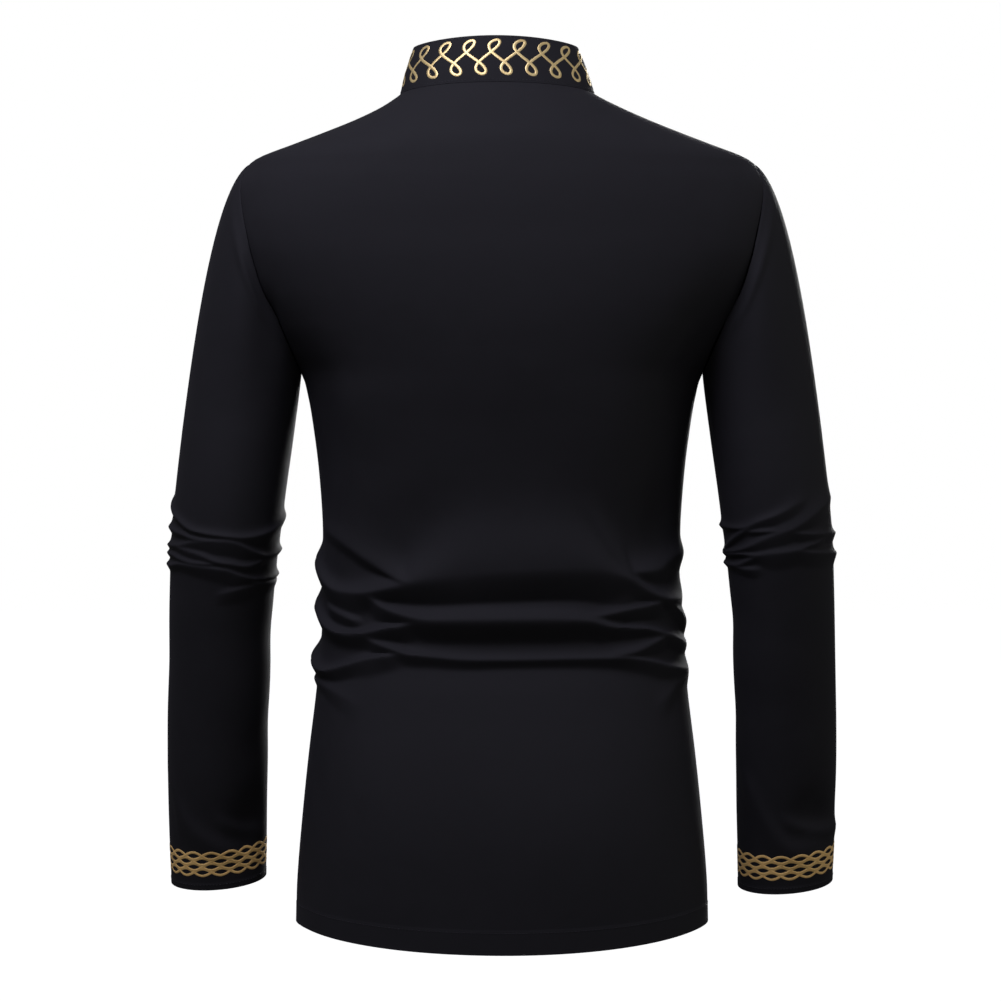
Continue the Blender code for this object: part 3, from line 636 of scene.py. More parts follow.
def make_black_sateen():
    material, shader = plain_material("black cotton sateen")
    place = add_node(material, "ShaderNodeTexCoord", {})
    slub = add_node(
        material,
        "ShaderNodeTexNoise",
        {"Vector": place.outputs["Object"], "Scale": 1 / DYE_PATCH, "Detail": 4.0, "Roughness": 0.6},
    )
    dye = add_node(
        material,
        "ShaderNodeMix",
        {0: slub.outputs["Fac"], 6: linear(COTTON_BLACK), 7: linear(COTTON_BLACK_WORN)},
        data_type="RGBA",
    )
    weave = add_node(
        material,
        "ShaderNodeTexNoise",
        {"Vector": place.outputs["Object"], "Scale": 1 / WEAVE_SPACING, "Detail": 1.0},
    )
    thread = add_node(
        material,
        "ShaderNodeBump",
        {"Strength": 0.12, "Distance": 0.0003, "Height": weave.outputs["Fac"]},
    )
    ripple = add_node(
        material,
        "ShaderNodeTexNoise",
        {"Vector": place.outputs["Object"], "Scale": 1 / RIPPLE_SPACING, "Detail": 3.0, "Roughness": 0.55},
    )
    surface = add_node(
        material,
        "ShaderNodeBump",
        {
            "Strength": 0.35,
            "Distance": 0.0012,
            "Height": ripple.outputs["Fac"],
            "Normal": thread.outputs["Normal"],
        },
    )
    shine = add_node(
        material,
        "ShaderNodeMapRange",
        {"Value": slub.outputs["Fac"], "To Min": 0.72, "To Max": 0.86},
    )
    material.node_tree.links.new(dye.outputs[2], shader.inputs["Base Color"])
    material.node_tree.links.new(shine.outputs["Result"], shader.inputs["Roughness"])
    material.node_tree.links.new(surface.outputs["Normal"], shader.inputs["Normal"])
    shader.inputs["Specular IOR Level"].default_value = 0.22
    shader.inputs["Sheen Weight"].default_value = 0.02
    shader.inputs["Sheen Roughness"].default_value = 0.45
    shader.inputs["Sheen Tint"].default_value = linear(COTTON_SHEEN)
    return material


black_sateen = make_black_sateen()
row_levels, row_bites = body_rows()
back_grid = body_surface(row_levels[:, None], back_turns(row_levels, row_bites))
back = cloth_wall("back_cloth", pressed_seams(back_grid), CLOTH, black_sateen)
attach(back, "root")
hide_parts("back")

# Fronts
# Two panels of the same sateen, each from its side seam and armhole to a lap down the centre front.
# The left one lies over the right one, and the side seams are pressed flat.
PLACKET_WIDTH = 0.032
LAP_BLEND = 0.045
# The right front lies under the left one by a wall of the solids, which are thicker than the cloth.
CAD_CLOTH = 0.0012
LAP_GAP = 0.0005
LAP_START = -0.8
LAP_COLUMNS = 10
FRONT_COLUMNS = 66


def lap_turn(level):
    """The turn from the centre front to the edge of the lap."""
    return np.degrees(np.arcsin(PLACKET_WIDTH / 2 / smooth_through(BODY_RINGS, level)[1]))


def front_point(side, level, turn, out=0.0):
    """Points of a front. Side is 1 for the left front, and -1 for the right one, which lies under it."""
    level, turn = np.broadcast_arrays(np.asarray(level, float), np.asarray(turn, float))
    sunk = np.zeros(level.shape)
    if side < 0:
        off_centre = smooth_through(BODY_RINGS, level)[1] * np.sin(np.radians(180 - turn))
        sunk = (CAD_CLOTH + LAP_GAP) * (1 - smooth_step((off_centre - PLACKET_WIDTH / 2) / LAP_BLEND))
    move = (out - sunk)[..., None]
    return body_surface(level, side * turn) + body_normal(level, side * turn) * move


def front_turns(levels, bites):
    """Rows of turns across a front, from its seam or armhole to the far edge of the lap."""
    edge = (90 + seam_half_turn(levels))[:, None]
    bite = bites[:, None]
    inner = edge + EDGE_COLUMN
    lap = lap_turn(levels)[:, None]
    share = np.linspace(0, 1, FRONT_COLUMNS + 1)[None, :]
    middle = inner + (180 - lap - inner) * share + bite * (1 - share) ** 2
    near_edge = edge + bite + EDGE_COLUMN * EDGE_SHARES[None, :]
    lapped = 180 + lap * np.linspace(LAP_START, 1, LAP_COLUMNS)[None, :]
    return np.hstack([near_edge, middle, lapped])


for side, node in ((1, "front_left"), (-1, "front_right")):
    grid = front_point(side, row_levels[:, None], front_turns(row_levels, row_bites))
    if side < 0:
        grid = grid[:, ::-1]
    grid = pressed_seams(grid, right=side > 0, left=side < 0)
    front = cloth_wall(f"{node}_cloth", grid, CLOTH, black_sateen)
    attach(front, "root")
    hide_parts(node)

# Placket
# A straight band of the same sateen, folded double and sewn on the left front's edge.
# It carries the buttonholes, and a row of stitches runs down each side of it.
PLACKET_CLOTH = 0.0010
COLLAR_CLEARANCE = 0.001
PLACKET_COLUMNS = 12

placket_top = NECK_LEVEL - COLLAR_CLEARANCE
clear_rows = row_levels[row_levels < placket_top - COLLAR_CLEARANCE]
placket_levels = np.concatenate([clear_rows, [placket_top]])
placket_shares = np.linspace(-1, 1, PLACKET_COLUMNS + 1)[None, :]


def placket_point(level, share, out=0.0):
    """Points of the placket's face: share -1 and 1 on its edges, 0 down its middle."""
    return front_point(1, level, 180 + lap_turn(level) * share, out + SEAM_GAP + PLACKET_CLOTH)


placket_grid = placket_point(placket_levels[:, None], placket_shares)
placket = cloth_wall("placket_cloth", placket_grid, PLACKET_CLOTH, black_sateen)
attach(placket, "root")
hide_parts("placket")

# Sleeves
# Each sleeve is one piece of the sateen, closed along the underarm and set into the armhole.
# Its spare length bunches at the elbow, and its wrist is plainly hemmed with no separate cuff.
ARM_RINGS = named_rows(
    "level centre_x centre_y half_width half_depth",
    (-0.300, 0.2360, 0.001, 0.0495, 0.0600),
    (-0.340, 0.2410, 0.003, 0.0490, 0.0580),
    (-0.375, 0.2450, 0.003, 0.0485, 0.0555),
    (-0.405, 0.2480, 0.001, 0.0475, 0.0530),
    (-0.440, 0.2505, -0.004, 0.0465, 0.0505),
    (-0.480, 0.2525, -0.011, 0.0460, 0.0480),
    (-0.560, 0.2555, -0.025, 0.0455, 0.0440),
    (-0.640, 0.2570, -0.039, 0.0443, 0.0395),
    (-0.705, 0.2570, -0.050, 0.0428, 0.0350),
)
ARM_TOP = ARM_RINGS[0].level
WRIST_LEVEL = ARM_RINGS[-1].level
# The directions in which the sleeve head leaves the armhole at its lowest point, sides and top.
CAP_UNDERARM_LEAVES = np.array([0.08, 0.0, -0.94])
CAP_SIDE_LEAVES = np.array([0.265, 0.18, -0.94])
CAP_SHOULDER_LEAVES = np.array([0.39, 0.0, -0.225])
CAP_ARRIVAL = 0.9
CAP_UNDERARM_CLEAR = 1.5
SLEEVE_COLUMNS = 2 * ARMHOLE_STEPS
ELBOW_ARC = 0.050

# A turn is in degrees round the arm: 0 towards the body, 90 at the back and 180 at the outer side.
# Both sleeves are worked out as a left one, and the right one is then mirrored.
LEFT_SLEEVE_CREASES = {
    "first": crest(
        (208, -0.3550, 0.0000, 0.005, 0.0070),
        (186, -0.3600, 0.0022, 0.004, 0.0056),
        (168, -0.3680, 0.0030, 0.003, 0.0056),
        (144, -0.3765, 0.0034, 0.003, 0.0042),
        (125, -0.3828, 0.0034, 0.003, 0.0042),
        (109, -0.3845, 0.0034, 0.003, 0.0042),
        (83, -0.3850, 0.0036, 0.003, 0.0056),
        (65, -0.3845, 0.0036, 0.003, 0.0084),
        (48, -0.3815, 0.0036, 0.003, 0.0098),
        (31, -0.3770, 0.0034, 0.003, 0.0098),
        (9, -0.3690, 0.0032, 0.003, 0.0084),
        (-12, -0.3620, 0.0026, 0.004, 0.0070),
        (-34, -0.3570, 0.0000, 0.005, 0.0070),
    ),
    "twin under the first": crest(
        (210, -0.3760, 0.0000, 0.004, 0.0056),
        (188, -0.3835, 0.0032, 0.004, 0.0042),
        (160, -0.3860, 0.0032, 0.003, 0.0042),
        (136, -0.3878, 0.0032, 0.003, 0.0042),
        (118, -0.3900, 0.0032, 0.003, 0.0042),
        (96, -0.3898, 0.0028, 0.003, 0.0042),
        (80, -0.3890, 0.0000, 0.003, 0.0042),
    ),
    "second": crest(
        (212, -0.4020, 0.0000, 0.003, 0.0042),
        (184, -0.4005, 0.0034, 0.003, 0.0042),
        (160, -0.3990, 0.0032, 0.003, 0.0042),
        (137, -0.3968, 0.0030, 0.003, 0.0056),
        (123, -0.3932, 0.0030, 0.003, 0.0070),
        (109, -0.3912, 0.0032, 0.003, 0.0084),
        (94, -0.3895, 0.0034, 0.003, 0.0112),
        (82, -0.3892, 0.0036, 0.004, 0.0112),
        (71, -0.3905, 0.0036, 0.004, 0.0112),
        (59, -0.3940, 0.0036, 0.003, 0.0084),
        (48, -0.3972, 0.0036, 0.003, 0.0056),
        (36, -0.3992, 0.0036, 0.003, 0.0056),
        (20, -0.3975, 0.0036, 0.003, 0.0056),
        (-4, -0.3945, 0.0032, 0.003, 0.0056),
        (-30, -0.3930, 0.0000, 0.004, 0.0056),
    ),
    "third": crest(
        (160, -0.3955, 0.0000, 0.003, 0.0056),
        (140, -0.3985, 0.0028, 0.003, 0.0056),
        (124, -0.4000, 0.0030, 0.003, 0.0070),
        (108, -0.4018, 0.0032, 0.003, 0.0070),
        (95, -0.4048, 0.0036, 0.003, 0.0056),
        (75, -0.4062, 0.0036, 0.003, 0.0070),
        (62, -0.4072, 0.0036, 0.003, 0.0070),
        (52, -0.4058, 0.0032, 0.003, 0.0070),
        (39, -0.4018, 0.0026, 0.003, 0.0056),
        (24, -0.3980, 0.0000, 0.003, 0.0056),
    ),
    "third, outer branch": crest(
        (210, -0.4055, 0.0000, 0.003, 0.0042),
        (179, -0.4065, 0.0032, 0.003, 0.0042),
        (153, -0.4055, 0.0032, 0.003, 0.0042),
        (139, -0.4068, 0.0034, 0.003, 0.0042),
        (122, -0.4082, 0.0034, 0.003, 0.0042),
        (100, -0.4076, 0.0032, 0.003, 0.0042),
        (84, -0.4065, 0.0000, 0.003, 0.0056),
    ),
    "fourth": crest(
        (210, -0.4150, 0.0000, 0.003, 0.0056),
        (180, -0.4158, 0.0032, 0.003, 0.0056),
        (156, -0.4148, 0.0034, 0.003, 0.0042),
        (137, -0.4112, 0.0034, 0.003, 0.0056),
        (107, -0.4104, 0.0034, 0.003, 0.0084),
        (93, -0.4106, 0.0034, 0.003, 0.0098),
        (80, -0.4114, 0.0034, 0.003, 0.0112),
        (69, -0.4144, 0.0034, 0.003, 0.0112),
        (53, -0.4176, 0.0034, 0.003, 0.0056),
        (42, -0.4182, 0.0032, 0.003, 0.0042),
        (18, -0.4188, 0.0032, 0.003, 0.0042),
        (-8, -0.4180, 0.0028, 0.003, 0.0042),
        (-30, -0.4170, 0.0000, 0.004, 0.0056),
    ),
    "fourth, branch towards the body": crest(
        (60, -0.4170, 0.0000, 0.003, 0.0070),
        (50, -0.4208, 0.0026, 0.003, 0.0084),
        (38, -0.4225, 0.0030, 0.003, 0.0084),
        (14, -0.4235, 0.0030, 0.003, 0.0084),
        (-12, -0.4225, 0.0000, 0.003, 0.0070),
    ),
    "fifth": crest(
        (94, -0.4330, 0.0000, 0.003, 0.0084),
        (80, -0.4295, 0.0020, 0.003, 0.0098),
        (66, -0.4262, 0.0026, 0.003, 0.0112),
        (50, -0.4235, 0.0020, 0.003, 0.0112),
        (36, -0.4215, 0.0000, 0.003, 0.0084),
    ),
    "diagonal above the wrist": crest(
        (172, -0.5920, 0.0000, 0.008, 0.012, 1.9),
        (147, -0.6100, 0.0014, 0.008, 0.012, 1.8),
        (132, -0.6316, 0.0018, 0.008, 0.012, 1.8),
        (110, -0.6477, 0.0020, 0.007, 0.012, 1.7),
        (80, -0.6610, 0.0020, 0.007, 0.012, 1.7),
        (50, -0.6650, 0.0000, 0.007, 0.012, 1.9),
    ),
    "short crease above the wrist": crest(
        (92, -0.6330, 0.0000, 0.005, 0.010, 1.8),
        (77, -0.6388, 0.0016, 0.004, 0.010, 1.4),
        (56, -0.6457, 0.0022, 0.004, 0.010, 1.4),
        (28, -0.6500, 0.0018, 0.005, 0.010, 1.7),
        (0, -0.6520, 0.0000, 0.006, 0.010, 1.9),
    ),
    "front, high": crest(
        (176, -0.3720, 0.0000, 0.005, 0.0070),
        (212, -0.3835, 0.0030, 0.005, 0.0070),
        (246, -0.3920, 0.0034, 0.004, 0.0084),
        (284, -0.3900, 0.0032, 0.004, 0.0084),
        (322, -0.3840, 0.0030, 0.005, 0.0070),
        (352, -0.3770, 0.0000, 0.005, 0.0070),
    ),
    "front, middle": crest(
        (200, -0.4030, 0.0000, 0.004, 0.0056),
        (228, -0.4010, 0.0028, 0.003, 0.0070),
        (262, -0.4035, 0.0032, 0.003, 0.0070),
        (300, -0.4060, 0.0030, 0.003, 0.0070),
        (340, -0.4010, 0.0000, 0.004, 0.0056),
    ),
    "front, low": crest(
        (192, -0.4130, 0.0000, 0.004, 0.0056),
        (226, -0.4160, 0.0032, 0.003, 0.0070),
        (270, -0.4215, 0.0034, 0.003, 0.0098),
        (312, -0.4180, 0.0030, 0.003, 0.0084),
        (348, -0.4150, 0.0000, 0.004, 0.0056),
    ),
}
RIGHT_SLEEVE_CREASES = {
    "first": crest(
        (-34, -0.3720, 0.0000, 0.003, 0.0056),
        (-8, -0.3728, 0.0026, 0.003, 0.0042),
        (11, -0.3735, 0.0030, 0.003, 0.0042),
        (38, -0.3758, 0.0030, 0.003, 0.0042),
        (52, -0.3756, 0.0032, 0.003, 0.0056),
        (65, -0.3724, 0.0034, 0.003, 0.0070),
        (80, -0.3694, 0.0034, 0.003, 0.0084),
        (92, -0.3664, 0.0030, 0.004, 0.0098),
        (107, -0.3616, 0.0022, 0.006, 0.0098),
        (124, -0.3570, 0.0000, 0.008, 0.0098),
    ),
    "short branch": crest(
        (-20, -0.4030, 0.0000, 0.003, 0.0042),
        (8, -0.3950, 0.0030, 0.003, 0.0042),
        (33, -0.3848, 0.0032, 0.003, 0.0042),
        (43, -0.3808, 0.0032, 0.003, 0.0042),
        (56, -0.3765, 0.0028, 0.003, 0.0042),
        (68, -0.3735, 0.0000, 0.003, 0.0042),
    ),
    "short cross line": crest(
        (42, -0.3785, 0.0000, 0.003, 0.0042),
        (60, -0.3797, 0.0028, 0.003, 0.0042),
        (80, -0.3808, 0.0030, 0.003, 0.0042),
        (100, -0.3825, 0.0000, 0.003, 0.0042),
    ),
    "long diagonal": crest(
        (-22, -0.3965, 0.0000, 0.003, 0.0042),
        (2, -0.3962, 0.0030, 0.003, 0.0042),
        (20, -0.3958, 0.0034, 0.003, 0.0042),
        (40, -0.3942, 0.0034, 0.003, 0.0042),
        (56, -0.3906, 0.0036, 0.003, 0.0070),
        (68, -0.3872, 0.0038, 0.004, 0.0098),
        (79, -0.3846, 0.0038, 0.005, 0.0112),
        (90, -0.3824, 0.0038, 0.006, 0.0112),
        (101, -0.3800, 0.0038, 0.006, 0.0098),
        (114, -0.3758, 0.0036, 0.007, 0.0084),
        (128, -0.3704, 0.0034, 0.008, 0.0084),
        (142, -0.3655, 0.0030, 0.008, 0.0084),
        (162, -0.3600, 0.0022, 0.008, 0.0084),
        (184, -0.3565, 0.0000, 0.008, 0.0084),
    ),
    "line to the outer side": crest(
        (90, -0.3815, 0.0000, 0.003, 0.0056),
        (103, -0.3838, 0.0028, 0.003, 0.0070),
        (120, -0.3862, 0.0032, 0.003, 0.0070),
        (140, -0.3878, 0.0032, 0.003, 0.0070),
        (164, -0.3895, 0.0032, 0.003, 0.0070),
        (190, -0.3900, 0.0028, 0.003, 0.0056),
        (216, -0.3880, 0.0000, 0.004, 0.0056),
    ),
    "second diagonal": crest(
        (-28, -0.3990, 0.0000, 0.003, 0.0042),
        (-6, -0.3985, 0.0028, 0.003, 0.0042),
        (16, -0.3984, 0.0032, 0.003, 0.0042),
        (44, -0.3976, 0.0032, 0.003, 0.0042),
        (60, -0.3986, 0.0034, 0.003, 0.0070),
        (75, -0.3980, 0.0036, 0.004, 0.0112),
        (91, -0.3977, 0.0036, 0.004, 0.0112),
        (106, -0.3966, 0.0034, 0.003, 0.0098),
        (116, -0.3948, 0.0032, 0.003, 0.0070),
        (129, -0.3932, 0.0028, 0.003, 0.0056),
        (144, -0.3885, 0.0022, 0.003, 0.0056),
        (158, -0.3840, 0.0000, 0.004, 0.0056),
    ),
    "lower line to the outer side": crest(
        (86, -0.3955, 0.0000, 0.003, 0.0084),
        (99, -0.3968, 0.0028, 0.003, 0.0098),
        (114, -0.3994, 0.0032, 0.003, 0.0098),
        (131, -0.4018, 0.0032, 0.003, 0.0098),
        (150, -0.4042, 0.0034, 0.003, 0.0084),
        (174, -0.4066, 0.0032, 0.003, 0.0084),
        (198, -0.4065, 0.0026, 0.003, 0.0070),
        (220, -0.4040, 0.0000, 0.004, 0.0056),
    ),
    "branch towards the body": crest(
        (-32, -0.4085, 0.0000, 0.003, 0.0042),
        (-8, -0.4082, 0.0030, 0.003, 0.0042),
        (12, -0.4080, 0.0032, 0.003, 0.0042),
        (36, -0.4070, 0.0034, 0.003, 0.0056),
        (50, -0.4028, 0.0032, 0.003, 0.0056),
        (61, -0.3996, 0.0028, 0.003, 0.0056),
        (74, -0.3972, 0.0000, 0.003, 0.0056),
    ),
    "last": crest(
        (20, -0.4060, 0.0000, 0.003, 0.0056),
        (33, -0.4088, 0.0026, 0.003, 0.0056),
        (53, -0.4102, 0.0028, 0.003, 0.0070),
        (66, -0.4100, 0.0000, 0.003, 0.0056),
    ),
    "diagonal above the wrist": crest(
        (6, -0.5780, 0.0000, 0.008, 0.012, 1.9),
        (27, -0.5960, 0.0014, 0.008, 0.012, 1.8),
        (48, -0.6198, 0.0018, 0.008, 0.012, 1.8),
        (67, -0.6410, 0.0020, 0.007, 0.012, 1.7),
        (89, -0.6610, 0.0020, 0.007, 0.012, 1.7),
        (120, -0.6660, 0.0000, 0.007, 0.012, 1.9),
    ),
    "short crease above the wrist": crest(
        (76, -0.6320, 0.0000, 0.005, 0.010, 1.8),
        (92, -0.6387, 0.0020, 0.004, 0.008, 1.3),
        (119, -0.6450, 0.0030, 0.004, 0.008, 1.3),
        (158, -0.6504, 0.0024, 0.005, 0.009, 1.6),
        (190, -0.6520, 0.0000, 0.006, 0.010, 1.9),
    ),
    "front, high": crest(
        (176, -0.3880, 0.0000, 0.004, 0.0056),
        (214, -0.3900, 0.0030, 0.004, 0.0070),
        (252, -0.3960, 0.0034, 0.004, 0.0084),
        (292, -0.3900, 0.0032, 0.004, 0.0084),
        (330, -0.3790, 0.0028, 0.005, 0.0070),
        (356, -0.3740, 0.0000, 0.005, 0.0070),
    ),
    "front, middle": crest(
        (200, -0.3760, 0.0000, 0.006, 0.0070),
        (236, -0.3800, 0.0026, 0.005, 0.0070),
        (276, -0.3790, 0.0024, 0.005, 0.0070),
        (312, -0.3860, 0.0000, 0.005, 0.0070),
    ),
    "front, low": crest(
        (190, -0.4060, 0.0000, 0.004, 0.0056),
        (228, -0.4110, 0.0032, 0.003, 0.0084),
        (270, -0.4165, 0.0034, 0.003, 0.0098),
        (312, -0.4110, 0.0032, 0.003, 0.0084),
        (346, -0.4060, 0.0000, 0.004, 0.0056),
    ),
}
LEFT_SLEEVE_SWELLS = named_rows(
    SWELL_COLUMNS,
    (20, -0.470, 40, 0.022, 500, -0.0016),
    (60, -0.520, 34, 0.030, 300, 0.0012),
    (48, -0.644, 30, 0.028, 0, -0.0054),
    (16, -0.560, 30, 0.024, -500, -0.0014),
    (120, -0.600, 40, 0.036, 300, 0.0010),
    (160, -0.500, 36, 0.030, -300, -0.0010),
    (250, -0.560, 50, 0.050, 300, -0.0014),
    (300, -0.650, 50, 0.030, -300, 0.0014),
)
RIGHT_SLEEVE_SWELLS = named_rows(
    SWELL_COLUMNS,
    (12, -0.460, 36, 0.022, 500, -0.0016),
    (80, -0.500, 40, 0.030, -300, 0.0012),
    (126, -0.634, 30, 0.019, 0, -0.0078),
    (20, -0.540, 34, 0.024, 500, -0.0014),
    (120, -0.570, 40, 0.036, -300, 0.0010),
    (250, -0.540, 50, 0.050, -300, -0.0014),
    (300, -0.640, 50, 0.030, 300, 0.0014),
)
WRIST_HEM_DEPTH = 0.0062
WRIST_TILT_TOP = -0.600
WRIST_TILT_REACH = 0.080
WRIST_DROP = 0.0018
ARM_STEP = 0.004


def arm_direction(level):
    """The way down the sleeve's centre line at some levels."""
    upper, lower = np.minimum(level + ARM_STEP, ARM_TOP), np.maximum(level - ARM_STEP, WRIST_LEVEL)
    upper_x, upper_y = smooth_through(ARM_RINGS, upper)[:2]
    lower_x, lower_y = smooth_through(ARM_RINGS, lower)[:2]
    return unit(np.stack([lower_x - upper_x, lower_y - upper_y, lower - upper], -1))


def arm_relief(sleeve, level, turn):
    """How far a sleeve's cloth stands off its plain form."""
    hem = HEM_STEP * smooth_step((sleeve.wrist + WRIST_HEM_DEPTH - level) / HEM_SOFTNESS + 0.5)
    return creased(sleeve.creases, level, turn, ELBOW_ARC) + swollen(sleeve.swells, level, turn) + hem


def arm_point(level, turn, sleeve=None):
    """Points of a sleeve below its head, on rings across the arm that slant a little at the wrist."""
    cut_level, turn = np.broadcast_arrays(np.asarray(level, float), np.asarray(turn, float))
    level = cut_level
    if sleeve is not None:
        near_wrist = smooth_step((WRIST_TILT_TOP - cut_level) / WRIST_TILT_REACH)
        slant = sleeve.tilt * np.cos(np.radians(turn)) - WRIST_DROP * np.sin(np.radians(turn))
        level = cut_level + slant * near_wrist
    ring = smooth_through(ARM_RINGS, level)
    centre_x, centre_y, half_width, half_depth = (column[..., None] for column in ring)
    down = arm_direction(level)
    to_back = unit(np.array([0.0, 1.0, 0.0]) - down * down[..., 1:2])
    to_side = np.cross(down, to_back)
    sine, cosine = np.sin(np.radians(turn))[..., None], np.cos(np.radians(turn))[..., None]
    centre = np.concatenate([centre_x, centre_y, level[..., None]], -1)
    point = centre - half_width * cosine * to_side + half_depth * sine * to_back
    outward = unit(-cosine / half_width * to_side + sine / half_depth * to_back)
    if sleeve is None:
        return point
    return point + outward * arm_relief(sleeve, cut_level, turn)[..., None]


def armhole_place(turn):
    """The level and the turn round the body at which a turn round the arm, 0 to 360, meets the armhole."""
    rise = np.where(turn <= 180, turn, 360 - turn)
    side = np.where(turn <= 180, -1, 1)
    return armhole_level(rise), 90 + side * armhole_bite(rise)


def armhole_point(turn):
    """Points of the armhole's edge on the body, by their turn round the arm."""
    return body_surface(*armhole_place(turn % 360))


def cap_point(turn, share):
    """Points of the sleeve head, on curves from the armhole down to the sleeve's first ring."""
    sine, cosine = np.sin(np.radians(turn))[..., None], np.cos(np.radians(turn))[..., None]
    low, high = np.maximum(cosine, 0) ** 2, np.maximum(-cosine, 0) ** 2
    to_side = CAP_SIDE_LEAVES * np.concatenate([np.ones_like(sine), sine, np.ones_like(sine)], -1)
    leaves = CAP_UNDERARM_LEAVES * low + to_side * sine**2 + CAP_SHOULDER_LEAVES * high
    along_seam = armhole_point(turn + 1) - armhole_point(turn - 1)
    across_seam = unit(np.cross(body_normal(*armhole_place(turn)), along_seam))
    apart = across_seam + low * np.array([CAP_UNDERARM_CLEAR, 0.0, 0.0])
    start = armhole_point(turn) + apart * SEAM_GAP
    end = arm_point(np.full(turn.shape, ARM_TOP), turn)
    length = np.linalg.norm(end - start, axis=-1, keepdims=True)
    arrives = arm_direction(np.full(turn.shape, ARM_TOP)) * CAP_ARRIVAL
    return curve_between(start, leaves * length, end, arrives * length, share)


CAP_SEAM_SHARES = np.array([0.0, 0.006, 0.013, 0.022, 0.034, 0.050])
CAP_SHARES = np.concatenate([CAP_SEAM_SHARES, np.linspace(0.072, 1, 40)[:-1]])
CAP_DIP_REACH = 0.012
CAP_PUCKER = 0.00035
CAP_PUCKERS = 44
CAP_PUCKER_REACH = 0.07
CAP_FOLD = 0.0022
CAP_FOLD_PLACE = 0.12
CAP_FOLD_WIDTH = 0.042
CAP_FOLD_TURN = 96
CAP_FOLD_REACH = 34
# Rows of points, as on the body: close at the hem's step and in the bunched elbow.
WRIST_ROWS = np.array([0.0, 0.001, 0.003, 0.0052, 0.0058, 0.0064, 0.0072, 0.010])
FOREARM_ABOVE_EDGE = 0.014
FOREARM_TOP = -0.450
ELBOW_BOTTOM = -0.449
ELBOW_TOP = -0.348
ELBOW_PITCH = 0.0009
UPPER_ARM_BOTTOM = -0.346
ARM_PITCH = 0.0042


def sleeve_grid(sleeve):
    """Rows of points of a sleeve, as a left one, from the wrist up to the armhole."""
    turns = np.arange(SLEEVE_COLUMNS) * 360 / SLEEVE_COLUMNS
    cap = np.stack([cap_point(turns, share) for share in CAP_SHARES])
    share = CAP_SHARES[:, None]
    sink = SEAM_DIP * np.exp(-((share / CAP_DIP_REACH) ** 2))
    high = np.maximum(-np.cos(np.radians(turns)), 0)[None, :]
    puckers = CAP_PUCKER * high * np.cos(np.radians(turns * CAP_PUCKERS))
    pucker = puckers * np.exp(-((share / CAP_PUCKER_REACH) ** 2))
    at_back = np.exp(-(((turns - CAP_FOLD_TURN) / CAP_FOLD_REACH) ** 2))[None, :]
    fold = CAP_FOLD * at_back * np.exp(-(((share - CAP_FOLD_PLACE) / CAP_FOLD_WIDTH) ** 2))
    cap = cap - grid_normals(cap[::-1], True)[::-1] * (sink + pucker - fold)[..., None]
    wrist = sleeve.wrist + WRIST_ROWS
    forearm = np.arange(sleeve.wrist + FOREARM_ABOVE_EDGE, FOREARM_TOP, ARM_PITCH)
    elbow = np.arange(ELBOW_BOTTOM, ELBOW_TOP, ELBOW_PITCH)
    upper_arm = np.arange(UPPER_ARM_BOTTOM, ARM_TOP - ARM_PITCH, ARM_PITCH)
    levels = np.concatenate([wrist, forearm, elbow, upper_arm, [ARM_TOP]])
    arm = arm_point(levels[:, None], turns[None, :], sleeve)
    return np.concatenate([arm, cap[::-1]])


def mirrored(points):
    """The same points on the wearer's other side."""
    return points * np.array([-1.0, 1.0, 1.0])


Sleeve = namedtuple("Sleeve", "creases swells wrist tilt band_turn")
SLEEVES = {
    "sleeve_left": Sleeve(LEFT_SLEEVE_CREASES, LEFT_SLEEVE_SWELLS, WRIST_LEVEL + 0.0060, 0.0030, 7.0),
    "sleeve_right": Sleeve(RIGHT_SLEEVE_CREASES, RIGHT_SLEEVE_SWELLS, WRIST_LEVEL + 0.0024, -0.0034, -2.0),
}
for node, form in SLEEVES.items():
    grid = sleeve_grid(form)
    if node == "sleeve_right":
        grid = mirrored(grid)[:, ::-1]
    sleeve = cloth_wall(f"{node}_cloth", grid, CLOTH, black_sateen, closed_round=True)
    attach(sleeve, "root")
    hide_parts(node)

# Collar
# A stand collar: one strip of the sateen stiffened inside and sewn into the neck seam.
# Its left end buttons over its right end at the front.
COLLAR_CLOTH = 0.0018
COLLAR_LAP_BLEND = 30.0
COLLAR_SIDE_HEIGHT = 0.0425
COLLAR_BACK_HEIGHT = 0.0430
COLLAR_FRONT_HEIGHT = 0.0400
COLLAR_TOP_CENTRE = 0.0055
COLLAR_TOP_HALF_WIDTH = 0.0735
COLLAR_TOP_BACK = 0.0450
COLLAR_TOP_FRONT = 0.0560
COLLAR_BULGE = 0.0010
COLLAR_GAP = 1.5 * SEAM_GAP
COLLAR_ROWS = np.array(
    [0.0, 0.02, 0.05, 0.1, 0.18, 0.28, 0.38, 0.5, 0.62, 0.74, 0.84, 0.91, 0.95, 0.98, 1.0]
)
COLLAR_COLUMNS = 280
COLLAR_END = float(lap_turn(np.array(NECK_LEVEL)))
SHARE_NUDGE = 0.02


